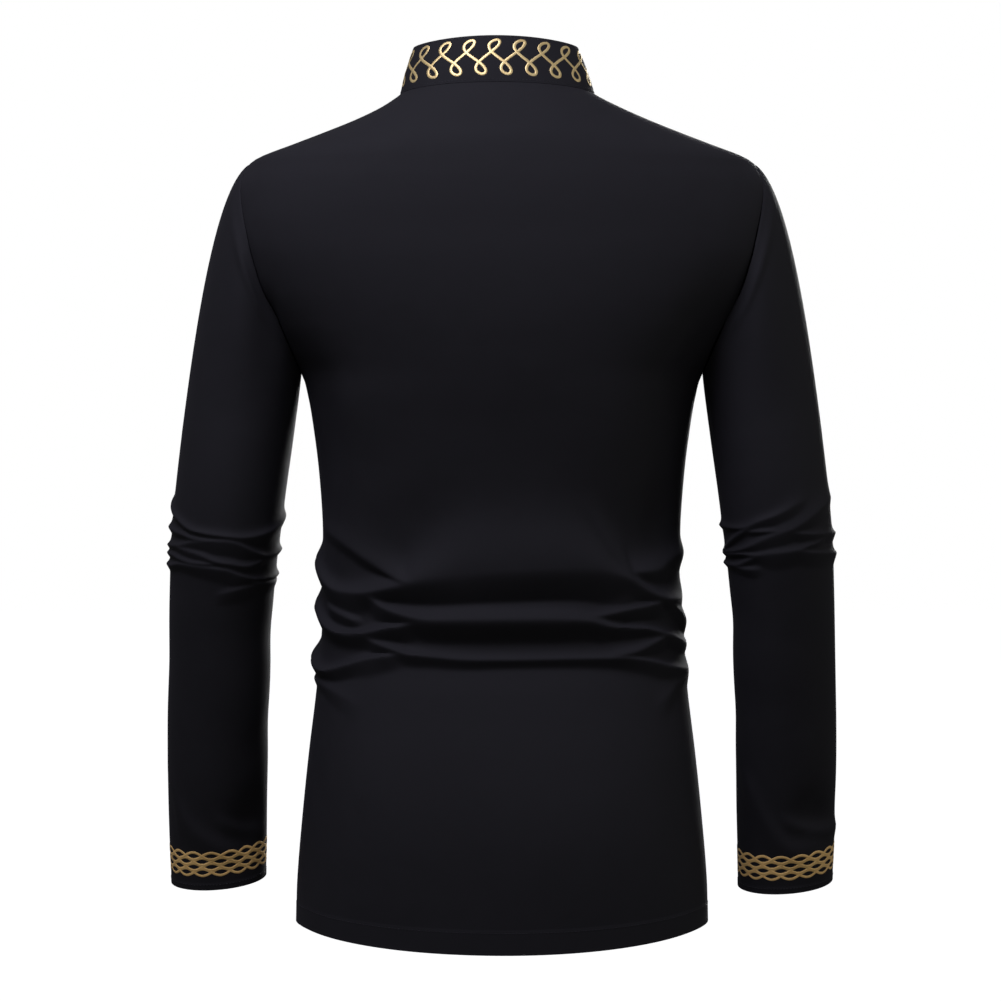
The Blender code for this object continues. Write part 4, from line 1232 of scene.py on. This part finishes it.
def collar_point(turn, share):
    """Points of the collar: share 0 on the neck seam, 1 on the top edge."""
    turn, share = np.broadcast_arrays(np.asarray(turn, float), np.asarray(share, float))
    base = body_surface(np.full(turn.shape, NECK_LEVEL), turn)
    sine, cosine = np.sin(np.radians(turn)), np.cos(np.radians(turn))
    depth = np.where(cosine > 0, COLLAR_TOP_BACK, COLLAR_TOP_FRONT)
    middle_height = np.where(cosine > 0, COLLAR_BACK_HEIGHT, COLLAR_FRONT_HEIGHT)
    height = COLLAR_SIDE_HEIGHT + (middle_height - COLLAR_SIDE_HEIGHT) * cosine**2
    across = COLLAR_TOP_CENTRE + COLLAR_TOP_HALF_WIDTH * sine
    top = np.stack([across, depth * cosine, base[..., 2] + height], -1)
    point = base + (top - base) * share[..., None]
    point[..., 2] += COLLAR_GAP * (1 - share)
    sunk = (COLLAR_CLOTH + LAP_GAP) * (1 - smooth_step((turn + 180 - COLLAR_END) / COLLAR_LAP_BLEND))
    bulge = COLLAR_BULGE * np.sin(np.pi * share)
    inward = -np.stack([sine, cosine, np.zeros_like(sine)], -1)
    return point + inward * (sunk - bulge)[..., None]


def collar_normal(turn, share):
    """The direction square to the collar and away from the wearer."""
    upward = collar_point(turn, share + SHARE_NUDGE) - collar_point(turn, share - SHARE_NUDGE)
    onward = collar_point(turn + TURN_NUDGE, share) - collar_point(turn - TURN_NUDGE, share)
    return unit(np.cross(upward, onward))


collar_turns = np.linspace(-180 - COLLAR_END, 180 + COLLAR_END, COLLAR_COLUMNS + 1)
collar_grid = collar_point(collar_turns[None, :], COLLAR_ROWS[:, None])
collar = cloth_wall("collar_cloth", collar_grid, COLLAR_CLOTH, black_sateen)
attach(collar, "root")
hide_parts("collar")

# Collar print
# One gold foil cord runs round the collar in a row of loops, teardrops above and rounder ones below.
# It is pressed on hot and stands a hair above the cloth. It stops short of the buttoned ends.
SCROLL_REPEAT = 0.0222
SCROLL_LOOP = 0.314
SCROLL_ROUND = 0.023
SCROLL_LEAN_TOP = 0.0058
SCROLL_LEAN_BOTTOM = 0.0030
SCROLL_TOP = 0.90
SCROLL_BOTTOM = 0.165
SCROLL_STRAND = 0.0026
SCROLL_PLACE = 0.0047
SCROLL_END_MARGIN = 0.026
SCROLL_STEPS = 56
FOIL = 0.00014
FOIL_OVER = 0.00002
# A strand's flat section, as shares of its width and height.
STRAND_SIDES = np.array([-0.5, -0.36, 0.0, 0.36, 0.5])
STRAND_TOPS = np.array([-0.4, 0.9, 1.0, 0.9, -0.4])
# Foil transfer: a thin metal film on glue, bright where it faces the light and dull at a slant. The
# cloth under it dents it in specks about 3 mm apart. Its gold varies at random with the specks, and the
# darker gold is laid into the dents as painted shade.
FOIL_SPECK = 0.003125
PALE_GOLD = "#FBE9B0"
PALE_GOLD_DENT_SHADE = "#E6C076"
PALE_GOLD_METAL = 0.60


def make_gold_foil(name, light, dark, metal):
    material, shader = plain_material(name)
    place = add_node(material, "ShaderNodeTexCoord", {})
    crackle = add_node(
        material,
        "ShaderNodeTexNoise",
        {"Vector": place.outputs["Object"], "Scale": 1 / FOIL_SPECK, "Detail": 3.0, "Roughness": 0.65},
    )
    # The darker gold goes where the bump below sinks into dents: painted shade.
    tone = add_node(
        material,
        "ShaderNodeMix",
        {0: crackle.outputs["Fac"], 6: linear(dark), 7: linear(light)},
        data_type="RGBA",
    )
    dent = add_node(
        material,
        "ShaderNodeBump",
        {"Strength": 0.25, "Distance": 0.0002, "Height": crackle.outputs["Fac"]},
    )
    material.node_tree.links.new(tone.outputs[2], shader.inputs["Base Color"])
    material.node_tree.links.new(dent.outputs["Normal"], shader.inputs["Normal"])
    shader.inputs["Metallic"].default_value = metal
    shader.inputs["Roughness"].default_value = 0.46
    return material


def ribbon(points, outs, width, height):
    """The points and faces of a flat strand along a path, with rounded sides."""
    onward = unit(np.gradient(points, axis=0))
    aside = unit(np.cross(outs, onward))
    sides = aside[:, None] * (STRAND_SIDES * width)[None, :, None]
    tops = outs[:, None] * (STRAND_TOPS * height)[None, :, None]
    rows = points[:, None] + sides + tops
    number = np.arange(rows[..., 0].size).reshape(rows.shape[:2])
    faces = np.stack([number[:-1, :-1], number[1:, :-1], number[1:, 1:], number[:-1, 1:]], -1)
    return rows.reshape(-1, 3), faces.reshape(-1, 4)


def joined_mesh(name, shells, finish):
    """One piece from many small meshes, each a list of points and faces."""
    points, faces, start = [], [], 0
    for shell_points, shell_faces in shells:
        points.append(shell_points)
        faces += [[int(corner) + start for corner in face] for face in shell_faces]
        start += len(shell_points)
    mesh = bpy.data.meshes.new(name)
    mesh.from_pydata(np.concatenate(points).tolist(), [], faces)
    mesh.shade_smooth()
    mesh.materials.append(finish)
    return placed(name, mesh)


collar_foil = make_gold_foil("pale gold foil transfer", PALE_GOLD, PALE_GOLD_DENT_SHADE, PALE_GOLD_METAL)
# Turns past both ends of the collar, fine enough to measure lengths by.
fine_turns = np.linspace(-200, 200, 2001)


def lengths_along(line):
    """The length of a line of points up to each of them."""
    return np.concatenate([[0], np.cumsum(np.linalg.norm(np.diff(line, axis=0), axis=-1))])


def collar_lengths(share):
    """Lengths round the collar at one height, from the centre back towards the wearer's left."""
    lengths = lengths_along(collar_point(fine_turns, share))
    return lengths - np.interp(0, fine_turns, lengths)


seam_lengths, top_lengths = collar_lengths(0.0), collar_lengths(1.0)
left_end = np.interp(180 - COLLAR_END, fine_turns, top_lengths) - SCROLL_END_MARGIN
right_end = np.interp(-180 + COLLAR_END, fine_turns, top_lengths) + SCROLL_END_MARGIN
first_loop = math.ceil((SCROLL_PLACE - left_end) / SCROLL_REPEAT)
last_loop = math.floor((SCROLL_PLACE - right_end) / SCROLL_REPEAT)
scroll_steps = (last_loop - first_loop + 1) * SCROLL_STEPS
phase = np.radians(np.linspace(360 * first_loop - 180, 360 * last_loop + 180, scroll_steps))
up = np.cos(phase)
lean = np.where(up > 0, SCROLL_LEAN_TOP, SCROLL_LEAN_BOTTOM) * up**2
run = SCROLL_REPEAT * (
    phase / (2 * math.pi) - SCROLL_LOOP * np.sin(2 * phase) + SCROLL_ROUND * np.sin(4 * phase)
)
scroll_shares = (SCROLL_TOP + SCROLL_BOTTOM) / 2 + (SCROLL_TOP - SCROLL_BOTTOM) / 2 * up
scroll_turns = np.array([
    np.interp(along, seam_lengths * (1 - share) + top_lengths * share, fine_turns)
    for along, share in zip(SCROLL_PLACE - run - lean, scroll_shares)
])
scroll_outs = collar_normal(scroll_turns, scroll_shares)
scroll_lift = 2 * FOIL_OVER * (1 + np.sin(phase))
scroll_line = collar_point(scroll_turns, scroll_shares) + scroll_outs * scroll_lift[:, None]
scroll_strand = ribbon(scroll_line, scroll_outs, SCROLL_STRAND, FOIL)
scroll = joined_mesh("collar_scroll", [scroll_strand], collar_foil)
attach(scroll, "root")

# Wrist bands
# The same gold foil, printed round each wrist just above the hem.
# Pairs of waved strands cross and part in rows, so eyes of black cloth show between them.
BAND_ABOVE_EDGE = 0.0136
BAND_ROWS = 4
BAND_PITCH = 0.0050
BAND_WAVE = 0.0031
BAND_STRAND = 0.0024
BAND_WAVES_ROUND = 8
BAND_STEPS = 240
BAND_NUDGE = 0.0005
# Down at the wrists a metal foil would mirror little light, so this foil is drawn nearly without metal
# and in a paler, brighter gold than its own: its own gold with a painted reflection laid in.
PAINTED_SHINE_GOLD = "#FFDB92"
PAINTED_SHINE_GOLD_DENT_SHADE = "#FCC474"
PAINTED_SHINE_GOLD_METAL = 0.05
cuff_foil = make_gold_foil("gold foil transfer", PAINTED_SHINE_GOLD, PAINTED_SHINE_GOLD_DENT_SHADE, PAINTED_SHINE_GOLD_METAL)

for node, form in SLEEVES.items():
    strands = []
    turn = np.linspace(0, 360, BAND_STEPS + 1)
    for row in range(BAND_ROWS):
        for side, start_angle in ((0, 0.0), (1, math.pi)):
            wave = np.radians((turn + form.band_turn) * BAND_WAVES_ROUND + 90 * row) + start_angle
            level = form.wrist + BAND_ABOVE_EDGE + BAND_PITCH * row + BAND_WAVE * (1 + np.cos(wave))
            upward = arm_point(level + BAND_NUDGE, turn, form) - arm_point(level - BAND_NUDGE, turn, form)
            onward = arm_point(level, turn + TURN_NUDGE, form) - arm_point(level, turn - TURN_NUDGE, form)
            outs = unit(np.cross(upward, onward))
            line = arm_point(level, turn, form) + outs * FOIL_OVER * (2 * row + side)
            if node == "sleeve_right":
                line, outs = mirrored(line)[::-1], mirrored(outs)[::-1]
            strands.append(ribbon(line, outs, BAND_STRAND, FOIL))
    band = joined_mesh(f"{node}_band", strands, cuff_foil)
    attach(band, "root")

# Neck tape
# A narrow strip of the same sateen, sewn inside over the seam where the collar joins the body. It covers
# the seam's raw edges, so that they don't rub the neck.
TAPE_REACH = 0.0055
TAPE_CLOTH = 0.0005
TAPE_ROWS = 8
TAPE_DEPTH = COLLAR_CLOTH + 0.0003
TAPE_END = 180 + 0.9 * COLLAR_END

tape_turns = np.linspace(-TAPE_END, TAPE_END, COLLAR_COLUMNS + 1)
tape_rows = []
for row in range(TAPE_ROWS + 1):
    height = TAPE_REACH * (2 * row / TAPE_ROWS - 1)
    if height > 0:
        rim = collar_point(tape_turns, height / COLLAR_BACK_HEIGHT)
        out = collar_normal(tape_turns, height / COLLAR_BACK_HEIGHT)
    else:
        levels = np.full(tape_turns.shape, NECK_LEVEL + height)
        rim, out = body_surface(levels, tape_turns), body_normal(levels, tape_turns)
    tape_rows.append(rim - unit(out * np.array([1.0, 1.0, 0.0])) * TAPE_DEPTH)
tape = cloth_wall("neck_tape", np.stack(tape_rows), TAPE_CLOTH, black_sateen)
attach(tape, "root")

# Sewing
# Black polyester thread, lockstitched about 3 mm to a stitch: round both hems, down both sides of the
# placket and along both edges of the collar.
STITCH_PITCH = 0.0030
STITCH_LENGTH = 0.0025
STITCH_WIDTH = 0.00045
STITCH_STANDS = 0.00022
STITCH_BENDS = (0.22, 0.78)
STITCH_SINKS = 0.4
HEM_STITCHES = HEM_LEVEL + HEM_DEPTH - 0.0014
HEM_SEAM_TURN = 2.0
HEM_LAP = 1.05
WRIST_STITCHES = WRIST_HEM_DEPTH - 0.0012
PLACKET_STITCHES = 0.82
PLACKET_MARGIN = 0.003
COLLAR_STITCH_SHARES = (0.05, 0.955)
COLLAR_STITCH_END = 180 + 0.8 * COLLAR_END
BACK_HEM_POINTS = 400
FRONT_HEM_POINTS = 200
PLACKET_POINTS = 600
COLLAR_POINTS = 700
WRIST_POINTS = 200
# Spun polyester: a soft lustre along the strand, a shade glossier than the cloth round it, with its
# plies twisted every 0.56 mm.
THREAD_BLACK = "#24232A"
THREAD_TWIST = 1 / 1800


def make_thread():
    material, shader = plain_material("spun polyester thread")
    place = add_node(material, "ShaderNodeTexCoord", {})
    ply = add_node(
        material,
        "ShaderNodeTexNoise",
        {"Vector": place.outputs["Object"], "Scale": 1 / THREAD_TWIST, "Detail": 1.0},
    )
    twist = add_node(
        material,
        "ShaderNodeBump",
        {"Strength": 0.3, "Distance": 0.0001, "Height": ply.outputs["Fac"]},
    )
    material.node_tree.links.new(twist.outputs["Normal"], shader.inputs["Normal"])
    shader.inputs["Base Color"].default_value = linear(THREAD_BLACK)
    shader.inputs["Roughness"].default_value = 0.5
    return material


thread = make_thread()


def stitch(start, end, out, width, stands):
    """One stitch that rises from the cloth, runs along it and goes down again."""
    along = end - start
    aside = unit(np.cross(out, along)) * width / 2
    sink = out * stands * STITCH_SINKS
    rings = []
    for share in STITCH_BENDS:
        middle = start + along * share
        rings += [middle + aside, middle + out * stands, middle - aside, middle - sink]
    # Point 0 is the start, 1 to 4 and 5 to 8 are rings round the strand, and 9 is the end.
    points = np.array([start - sink, *rings, end - sink])
    faces = [(0, 1 + i, 1 + (i + 1) % 4) for i in range(4)]
    faces += [(1 + i, 5 + i, 5 + (i + 1) % 4, 1 + (i + 1) % 4) for i in range(4)]
    faces += [(9, 5 + (i + 1) % 4, 5 + i) for i in range(4)]
    return points, faces


def stitch_row(points, outs):
    """Stitches at an even pitch along a line of points on the cloth."""
    run = lengths_along(points)

    def at(length, values):
        """A row of the values, between the points, at a length along the line."""
        return np.array([np.interp(length, run, values[:, axis]) for axis in range(3)])

    stitches = []
    for number in range(int((run[-1] - STITCH_LENGTH) / STITCH_PITCH)):
        start = number * STITCH_PITCH
        out = unit(at(start + STITCH_LENGTH / 2, outs))
        ends = at(start, points), at(start + STITCH_LENGTH, points)
        stitches.append(stitch(*ends, out, STITCH_WIDTH, STITCH_STANDS))
    return stitches


rows = []
turns = np.linspace(HEM_SEAM_TURN - 90, 90 - HEM_SEAM_TURN, BACK_HEM_POINTS)
rows += stitch_row(body_surface(HEM_STITCHES, turns), body_normal(HEM_STITCHES, turns))
for side in (1, -1):
    lap_edge = 180 - lap_turn(HEM_STITCHES) * side * HEM_LAP
    turns = np.linspace(90 + HEM_SEAM_TURN, lap_edge, FRONT_HEM_POINTS)
    rows += stitch_row(front_point(side, HEM_STITCHES, turns), body_normal(HEM_STITCHES, side * turns))
for side in (1, -1):
    levels = np.linspace(HEM_LEVEL + PLACKET_MARGIN, NECK_LEVEL - PLACKET_MARGIN, PLACKET_POINTS)
    turns = 180 + lap_turn(levels) * PLACKET_STITCHES * side
    rows += stitch_row(placket_point(levels, PLACKET_STITCHES * side), body_normal(levels, turns))
for share in COLLAR_STITCH_SHARES:
    turns = np.linspace(-COLLAR_STITCH_END, COLLAR_STITCH_END, COLLAR_POINTS)
    rows += stitch_row(collar_point(turns, share), collar_normal(turns, share))
for node, form in SLEEVES.items():
    turns = np.linspace(0, 360, WRIST_POINTS)
    line = arm_point(form.wrist + WRIST_STITCHES, turns, form)
    outs = unit(line - line.mean(axis=0))
    if node == "sleeve_right":
        line, outs = mirrored(line), mirrored(outs)
    rows += stitch_row(line, outs)
sewing = joined_mesh("stitches", rows, thread)
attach(sewing, "root")

# Buttonholes
# Each is a slit in the placket worked round with close satin stitches, with a bar at each end.
# The one on the collar lies crosswise.
BUTTONS = 7
TOP_BUTTON_LEVEL = -0.058
BUTTON_SPACING = 0.088
BUTTON_RADIUS = 0.0057
HOLE_LENGTH = 0.0150
HOLE_WIDTH = 0.0030
HOLE_SLIT = 0.12
HOLE_THREADS = 36
HOLE_THREAD = 0.00038
HOLE_THREAD_STANDS = 0.00035
HOLE_BAR_PLACE = 0.53 * HOLE_LENGTH
HOLE_BAR_REACH = 0.0008
HOLE_BAR_THREADS = 7
HOLE_BAR_THREAD = 0.00040
HOLE_BAR_STANDS = 0.00042
# How far the collar's buttonhole reaches along it and up it, to find how the collar runs there.
COLLAR_HOLE_TURN = 2.0
COLLAR_HOLE_RISE = 0.3


def button_places():
    """For each button: its name, its seat on the cloth, and the directions out of it and along its hole."""
    to_left = np.array([1.0, 0.0, 0.0])
    for number in range(BUTTONS):
        level = np.array(TOP_BUTTON_LEVEL - BUTTON_SPACING * number)
        seat = placket_point(level, 0.0)
        along = unit(placket_point(level + BUTTON_RADIUS, 0.0) - placket_point(level - BUTTON_RADIUS, 0.0))
        yield f"button_{number + 1}", seat, unit(np.cross(to_left, along)), along
    seat = collar_point(180.0, 0.5)
    along = unit(collar_point(180 + COLLAR_HOLE_TURN, 0.5) - collar_point(180 - COLLAR_HOLE_TURN, 0.5))
    upward = unit(collar_point(180.0, 0.5 + COLLAR_HOLE_RISE) - collar_point(180.0, 0.5 - COLLAR_HOLE_RISE))
    yield "button_collar", seat, unit(np.cross(to_left, upward)), along


holes = []
for name, seat, out, along in button_places():
    aside = np.cross(out, along)
    for side in (-1, 1):
        for step in np.linspace(-0.5, 0.5, HOLE_THREADS):
            middle = seat + along * HOLE_LENGTH * step
            inner = middle + aside * side * HOLE_WIDTH * HOLE_SLIT
            outer = middle + aside * side * HOLE_WIDTH / 2
            holes.append(stitch(inner, outer, out, HOLE_THREAD, HOLE_THREAD_STANDS))
    for end in (-1, 1):
        for step in np.linspace(-0.5, 0.5, HOLE_BAR_THREADS):
            middle = seat + along * end * HOLE_BAR_PLACE + aside * HOLE_WIDTH * step
            reach = along * end * HOLE_BAR_REACH
            holes.append(stitch(middle - reach, middle + reach, out, HOLE_BAR_THREAD, HOLE_BAR_STANDS))
buttonholes = joined_mesh("buttonholes", holes, thread)
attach(buttonholes, "root")

# Buttons
# Pressed polyester resin, 11.4 mm across with a rolled rim and a dished face, sewn on through four holes
# with two strands from hole to hole.
BUTTON_FACE = 0.0019
BUTTON_SIDES = 64
DRILL_RADIUS = 0.00065
DRILL_PLACE = 0.00115
DRILL_BOTTOM = -0.001
DRILL_TOP = 0.004
DRILL_SIDES = 20
STRAND_SPREAD = 0.00016
STRAND_PAST_HOLE = 0.00045
STRAND_WIDTH = 0.00034
STRAND_STANDS = 0.00038
BUTTON_PROFILE = named_rows(
    "radius height",
    (0.0, 0.0),
    (0.0047, 0.0),
    (0.0053, 0.00035),
    (BUTTON_RADIUS, 0.00105),
    (BUTTON_RADIUS, 0.00160),
    (0.0055, 0.00220),
    (0.0051, 0.00255),
    (0.0047, 0.00258),
    (0.0043, 0.00235),
    (0.0038, 0.00200),
    (0.0033, BUTTON_FACE),
    (0.0, BUTTON_FACE),
)
# Polished resin: nearly black, with a sharp gloss and the faintest depth of clouds 3.8 mm across.
RESIN_BLACK = "#141316"
RESIN_CLOUD = "#201E24"
RESIN_CLOUD_SIZE = 1 / 260


def make_resin():
    material, shader = plain_material("polished polyester resin")
    place = add_node(material, "ShaderNodeTexCoord", {})
    cloud = add_node(
        material,
        "ShaderNodeTexNoise",
        {"Vector": place.outputs["Object"], "Scale": 1 / RESIN_CLOUD_SIZE, "Detail": 2.0},
    )
    tone = add_node(
        material,
        "ShaderNodeMix",
        {0: cloud.outputs["Fac"], 6: linear(RESIN_BLACK), 7: linear(RESIN_CLOUD)},
        data_type="RGBA",
    )
    material.node_tree.links.new(tone.outputs[2], shader.inputs["Base Color"])
    shader.inputs["Roughness"].default_value = 0.22
    shader.inputs["IOR"].default_value = 1.54
    return material


resin = make_resin()


def turned_mesh(name, profile, sides):
    """A closed turned form from a profile that starts and ends on its axis."""
    angles = np.arange(sides) * 2 * math.pi / sides
    inner = profile[1:-1]
    points = [(0.0, 0.0, profile[0].height)]
    for ring in inner:
        points += [(ring.radius * math.cos(a), ring.radius * math.sin(a), ring.height) for a in angles]
    points.append((0.0, 0.0, profile[-1].height))
    here = np.arange(sides)
    after = (here + 1) % sides
    faces = np.stack([np.zeros(sides, int), 1 + after, 1 + here], -1).tolist()
    for ring in range(len(inner) - 1):
        low, high = 1 + ring * sides, 1 + (ring + 1) * sides
        faces += np.stack([low + here, low + after, high + after, high + here], -1).tolist()
    last = 1 + (len(inner) - 1) * sides
    faces += np.stack([last + here, last + after, np.full(sides, len(points) - 1)], -1).tolist()
    mesh = bpy.data.meshes.new(name)
    mesh.from_pydata(points, [], faces)
    return mesh


def button_mesh():
    """One button with its four holes cut through."""
    button = placed("button_blank", turned_mesh("button_blank", BUTTON_PROFILE, BUTTON_SIDES))
    drills = []
    pin = named_rows(
        "radius height",
        (0.0, DRILL_BOTTOM),
        (DRILL_RADIUS, DRILL_BOTTOM),
        (DRILL_RADIUS, DRILL_TOP),
        (0.0, DRILL_TOP),
    )
    for across in (-1, 1):
        for along in (-1, 1):
            drill = placed("drill", turned_mesh("drill", pin, DRILL_SIDES))
            drill.location = (across * DRILL_PLACE, along * DRILL_PLACE, 0.0)
            cut = button.modifiers.new("hole", "BOOLEAN")
            cut.operation = "DIFFERENCE"
            cut.object = drill
            drills.append(drill)
    bpy.context.view_layer.update()
    drilled = bpy.data.meshes.new_from_object(button.evaluated_get(bpy.context.evaluated_depsgraph_get()))
    for spare in (button, *drills):
        bpy.data.objects.remove(spare)
    drilled.materials.clear()
    drilled.materials.append(resin)
    drilled.shade_smooth()
    drilled.set_sharp_from_angle(angle=EDGE_ANGLE)
    return drilled


drilled_button = button_mesh()
for name, seat, out, along in button_places():
    aside = np.cross(along, out)
    turned = np.stack([aside, along, out], axis=1)
    base = seat + out * SEAM_GAP
    shape = drilled_button.copy()
    corners = np.empty(len(shape.vertices) * 3)
    shape.vertices.foreach_get("co", corners)
    shape.vertices.foreach_set("co", (corners.reshape(-1, 3) @ turned.T + base).ravel())
    button = placed(f"{name}_drilled", shape)
    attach(button, "root")
    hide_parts(name)
    strands = []
    for side in (-1, 1):
        for spread in (-STRAND_SPREAD, STRAND_SPREAD):
            middle = base + out * BUTTON_FACE + aside * (side * DRILL_PLACE + spread)
            reach = along * (DRILL_PLACE + STRAND_PAST_HOLE)
            strands.append(stitch(middle - reach, middle + reach, out, STRAND_WIDTH, STRAND_STANDS))
    sewn = joined_mesh(f"{name}_thread", strands, thread)
    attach(sewn, "root")

# Studio
# The main softbox hangs behind and over the wearer's left shoulder. Weak ones stand by the camera and at
# the right side, and one lights the front. The shirt hangs clear of a floor of white paper.
FLOOR_LEVEL = -1.45
FLOOR_SIZE = 60.0
CAMERA_PLACE = (0.0013, 3.0, -0.357)
CAMERA_LENS = 120.8
CAMERA_SENSOR = 36.0
LAMP_TARGET = (0.0, 0.0, -0.36)
# Matt paper that burns out to white because it glows of itself, a hair greyer in patches 20 m across.
PAPER_WHITE = "#F4F4F5"
PAPER_GREY = "#F2F2F3"
PAPER_PATCH = 20.0
LAMPS = named_rows(
    "name place size power colour",
    ("key softbox", (0.60, 1.05, 1.42), 1.1, 29.6, "#EAEAFF"),
    ("fill softbox", (-0.5, 2.8, 0.2), 1.6, 2.2, "#FFFCF4"),
    ("side softbox", (-1.7, 0.3, 0.1), 1.0, 2.6, "#FFFFFF"),
    ("front softbox", (-0.6, -2.0, 0.12), 1.1, 38.0, "#FFFFFF"),
)


def aim(thing, place, target):
    """Stands a lamp at a place and turns it to shine on a target."""
    thing.location = place
    away = np.array(place) - np.array(target)
    thing.rotation_euler = (
        math.acos(away[2] / np.linalg.norm(away)),
        0.0,
        math.atan2(away[0], -away[1]),
    )


for lamp in LAMPS:
    light = bpy.data.lights.new(lamp.name, "AREA")
    light.shape = "DISK"
    light.size = lamp.size
    light.energy = lamp.power
    light.color = linear(lamp.colour)[:3]
    aim(placed(lamp.name, light), lamp.place, LAMP_TARGET)

paper, paper_shader = plain_material("pale studio paper")
mottle = add_node(paper, "ShaderNodeTexNoise", {"Scale": FLOOR_SIZE / PAPER_PATCH, "Detail": 2.0})
tone = add_node(
    paper,
    "ShaderNodeMix",
    {0: mottle.outputs["Fac"], 6: linear(PAPER_GREY), 7: linear(PAPER_WHITE)},
    data_type="RGBA",
)
paper.node_tree.links.new(tone.outputs[2], paper_shader.inputs["Base Color"])
paper.node_tree.links.new(tone.outputs[2], paper_shader.inputs["Emission Color"])
paper_shader.inputs["Emission Strength"].default_value = 1.0
floor_mesh = bpy.data.meshes.new("studio_floor")
half = FLOOR_SIZE / 2
corners = [(x, y, FLOOR_LEVEL) for x, y in ((-half, -half), (half, -half), (half, half), (-half, half))]
floor_mesh.from_pydata(corners, [], [(0, 1, 2, 3)])
floor_mesh.materials.append(paper)
floor = placed("studio_floor", floor_mesh)
floor.visible_diffuse = False
floor.visible_glossy = False

world = bpy.data.worlds.new("studio")
world.use_nodes = True
bpy.context.scene.world = world
sky = world.node_tree.nodes["Background"]
direction = add_node(world, "ShaderNodeTexCoord", {})
parts = add_node(world, "ShaderNodeSeparateXYZ", {0: direction.outputs["Generated"]})
glow = add_node(
    world,
    "ShaderNodeMapRange",
    {"Value": parts.outputs["Z"], "From Min": -0.6, "From Max": 0.8, "To Min": 0.07, "To Max": 0.17},
)
ray = add_node(world, "ShaderNodeLightPath", {})
strength = add_node(
    world,
    "ShaderNodeMix",
    {0: ray.outputs["Is Camera Ray"], 2: glow.outputs["Result"], 3: 1.0},
    data_type="FLOAT",
)
sky.inputs["Color"].default_value = linear("#FFFFFF")
world.node_tree.links.new(strength.outputs[0], sky.inputs["Strength"])

camera = placed("camera", bpy.data.cameras.new("camera"))
camera.location = CAMERA_PLACE
camera.rotation_euler = (math.pi / 2, 0.0, math.pi)
camera.data.sensor_width = CAMERA_SENSOR
camera.data.lens = CAMERA_LENS
bpy.context.scene.camera = camera
bpy.context.scene.view_settings.view_transform = "Standard"
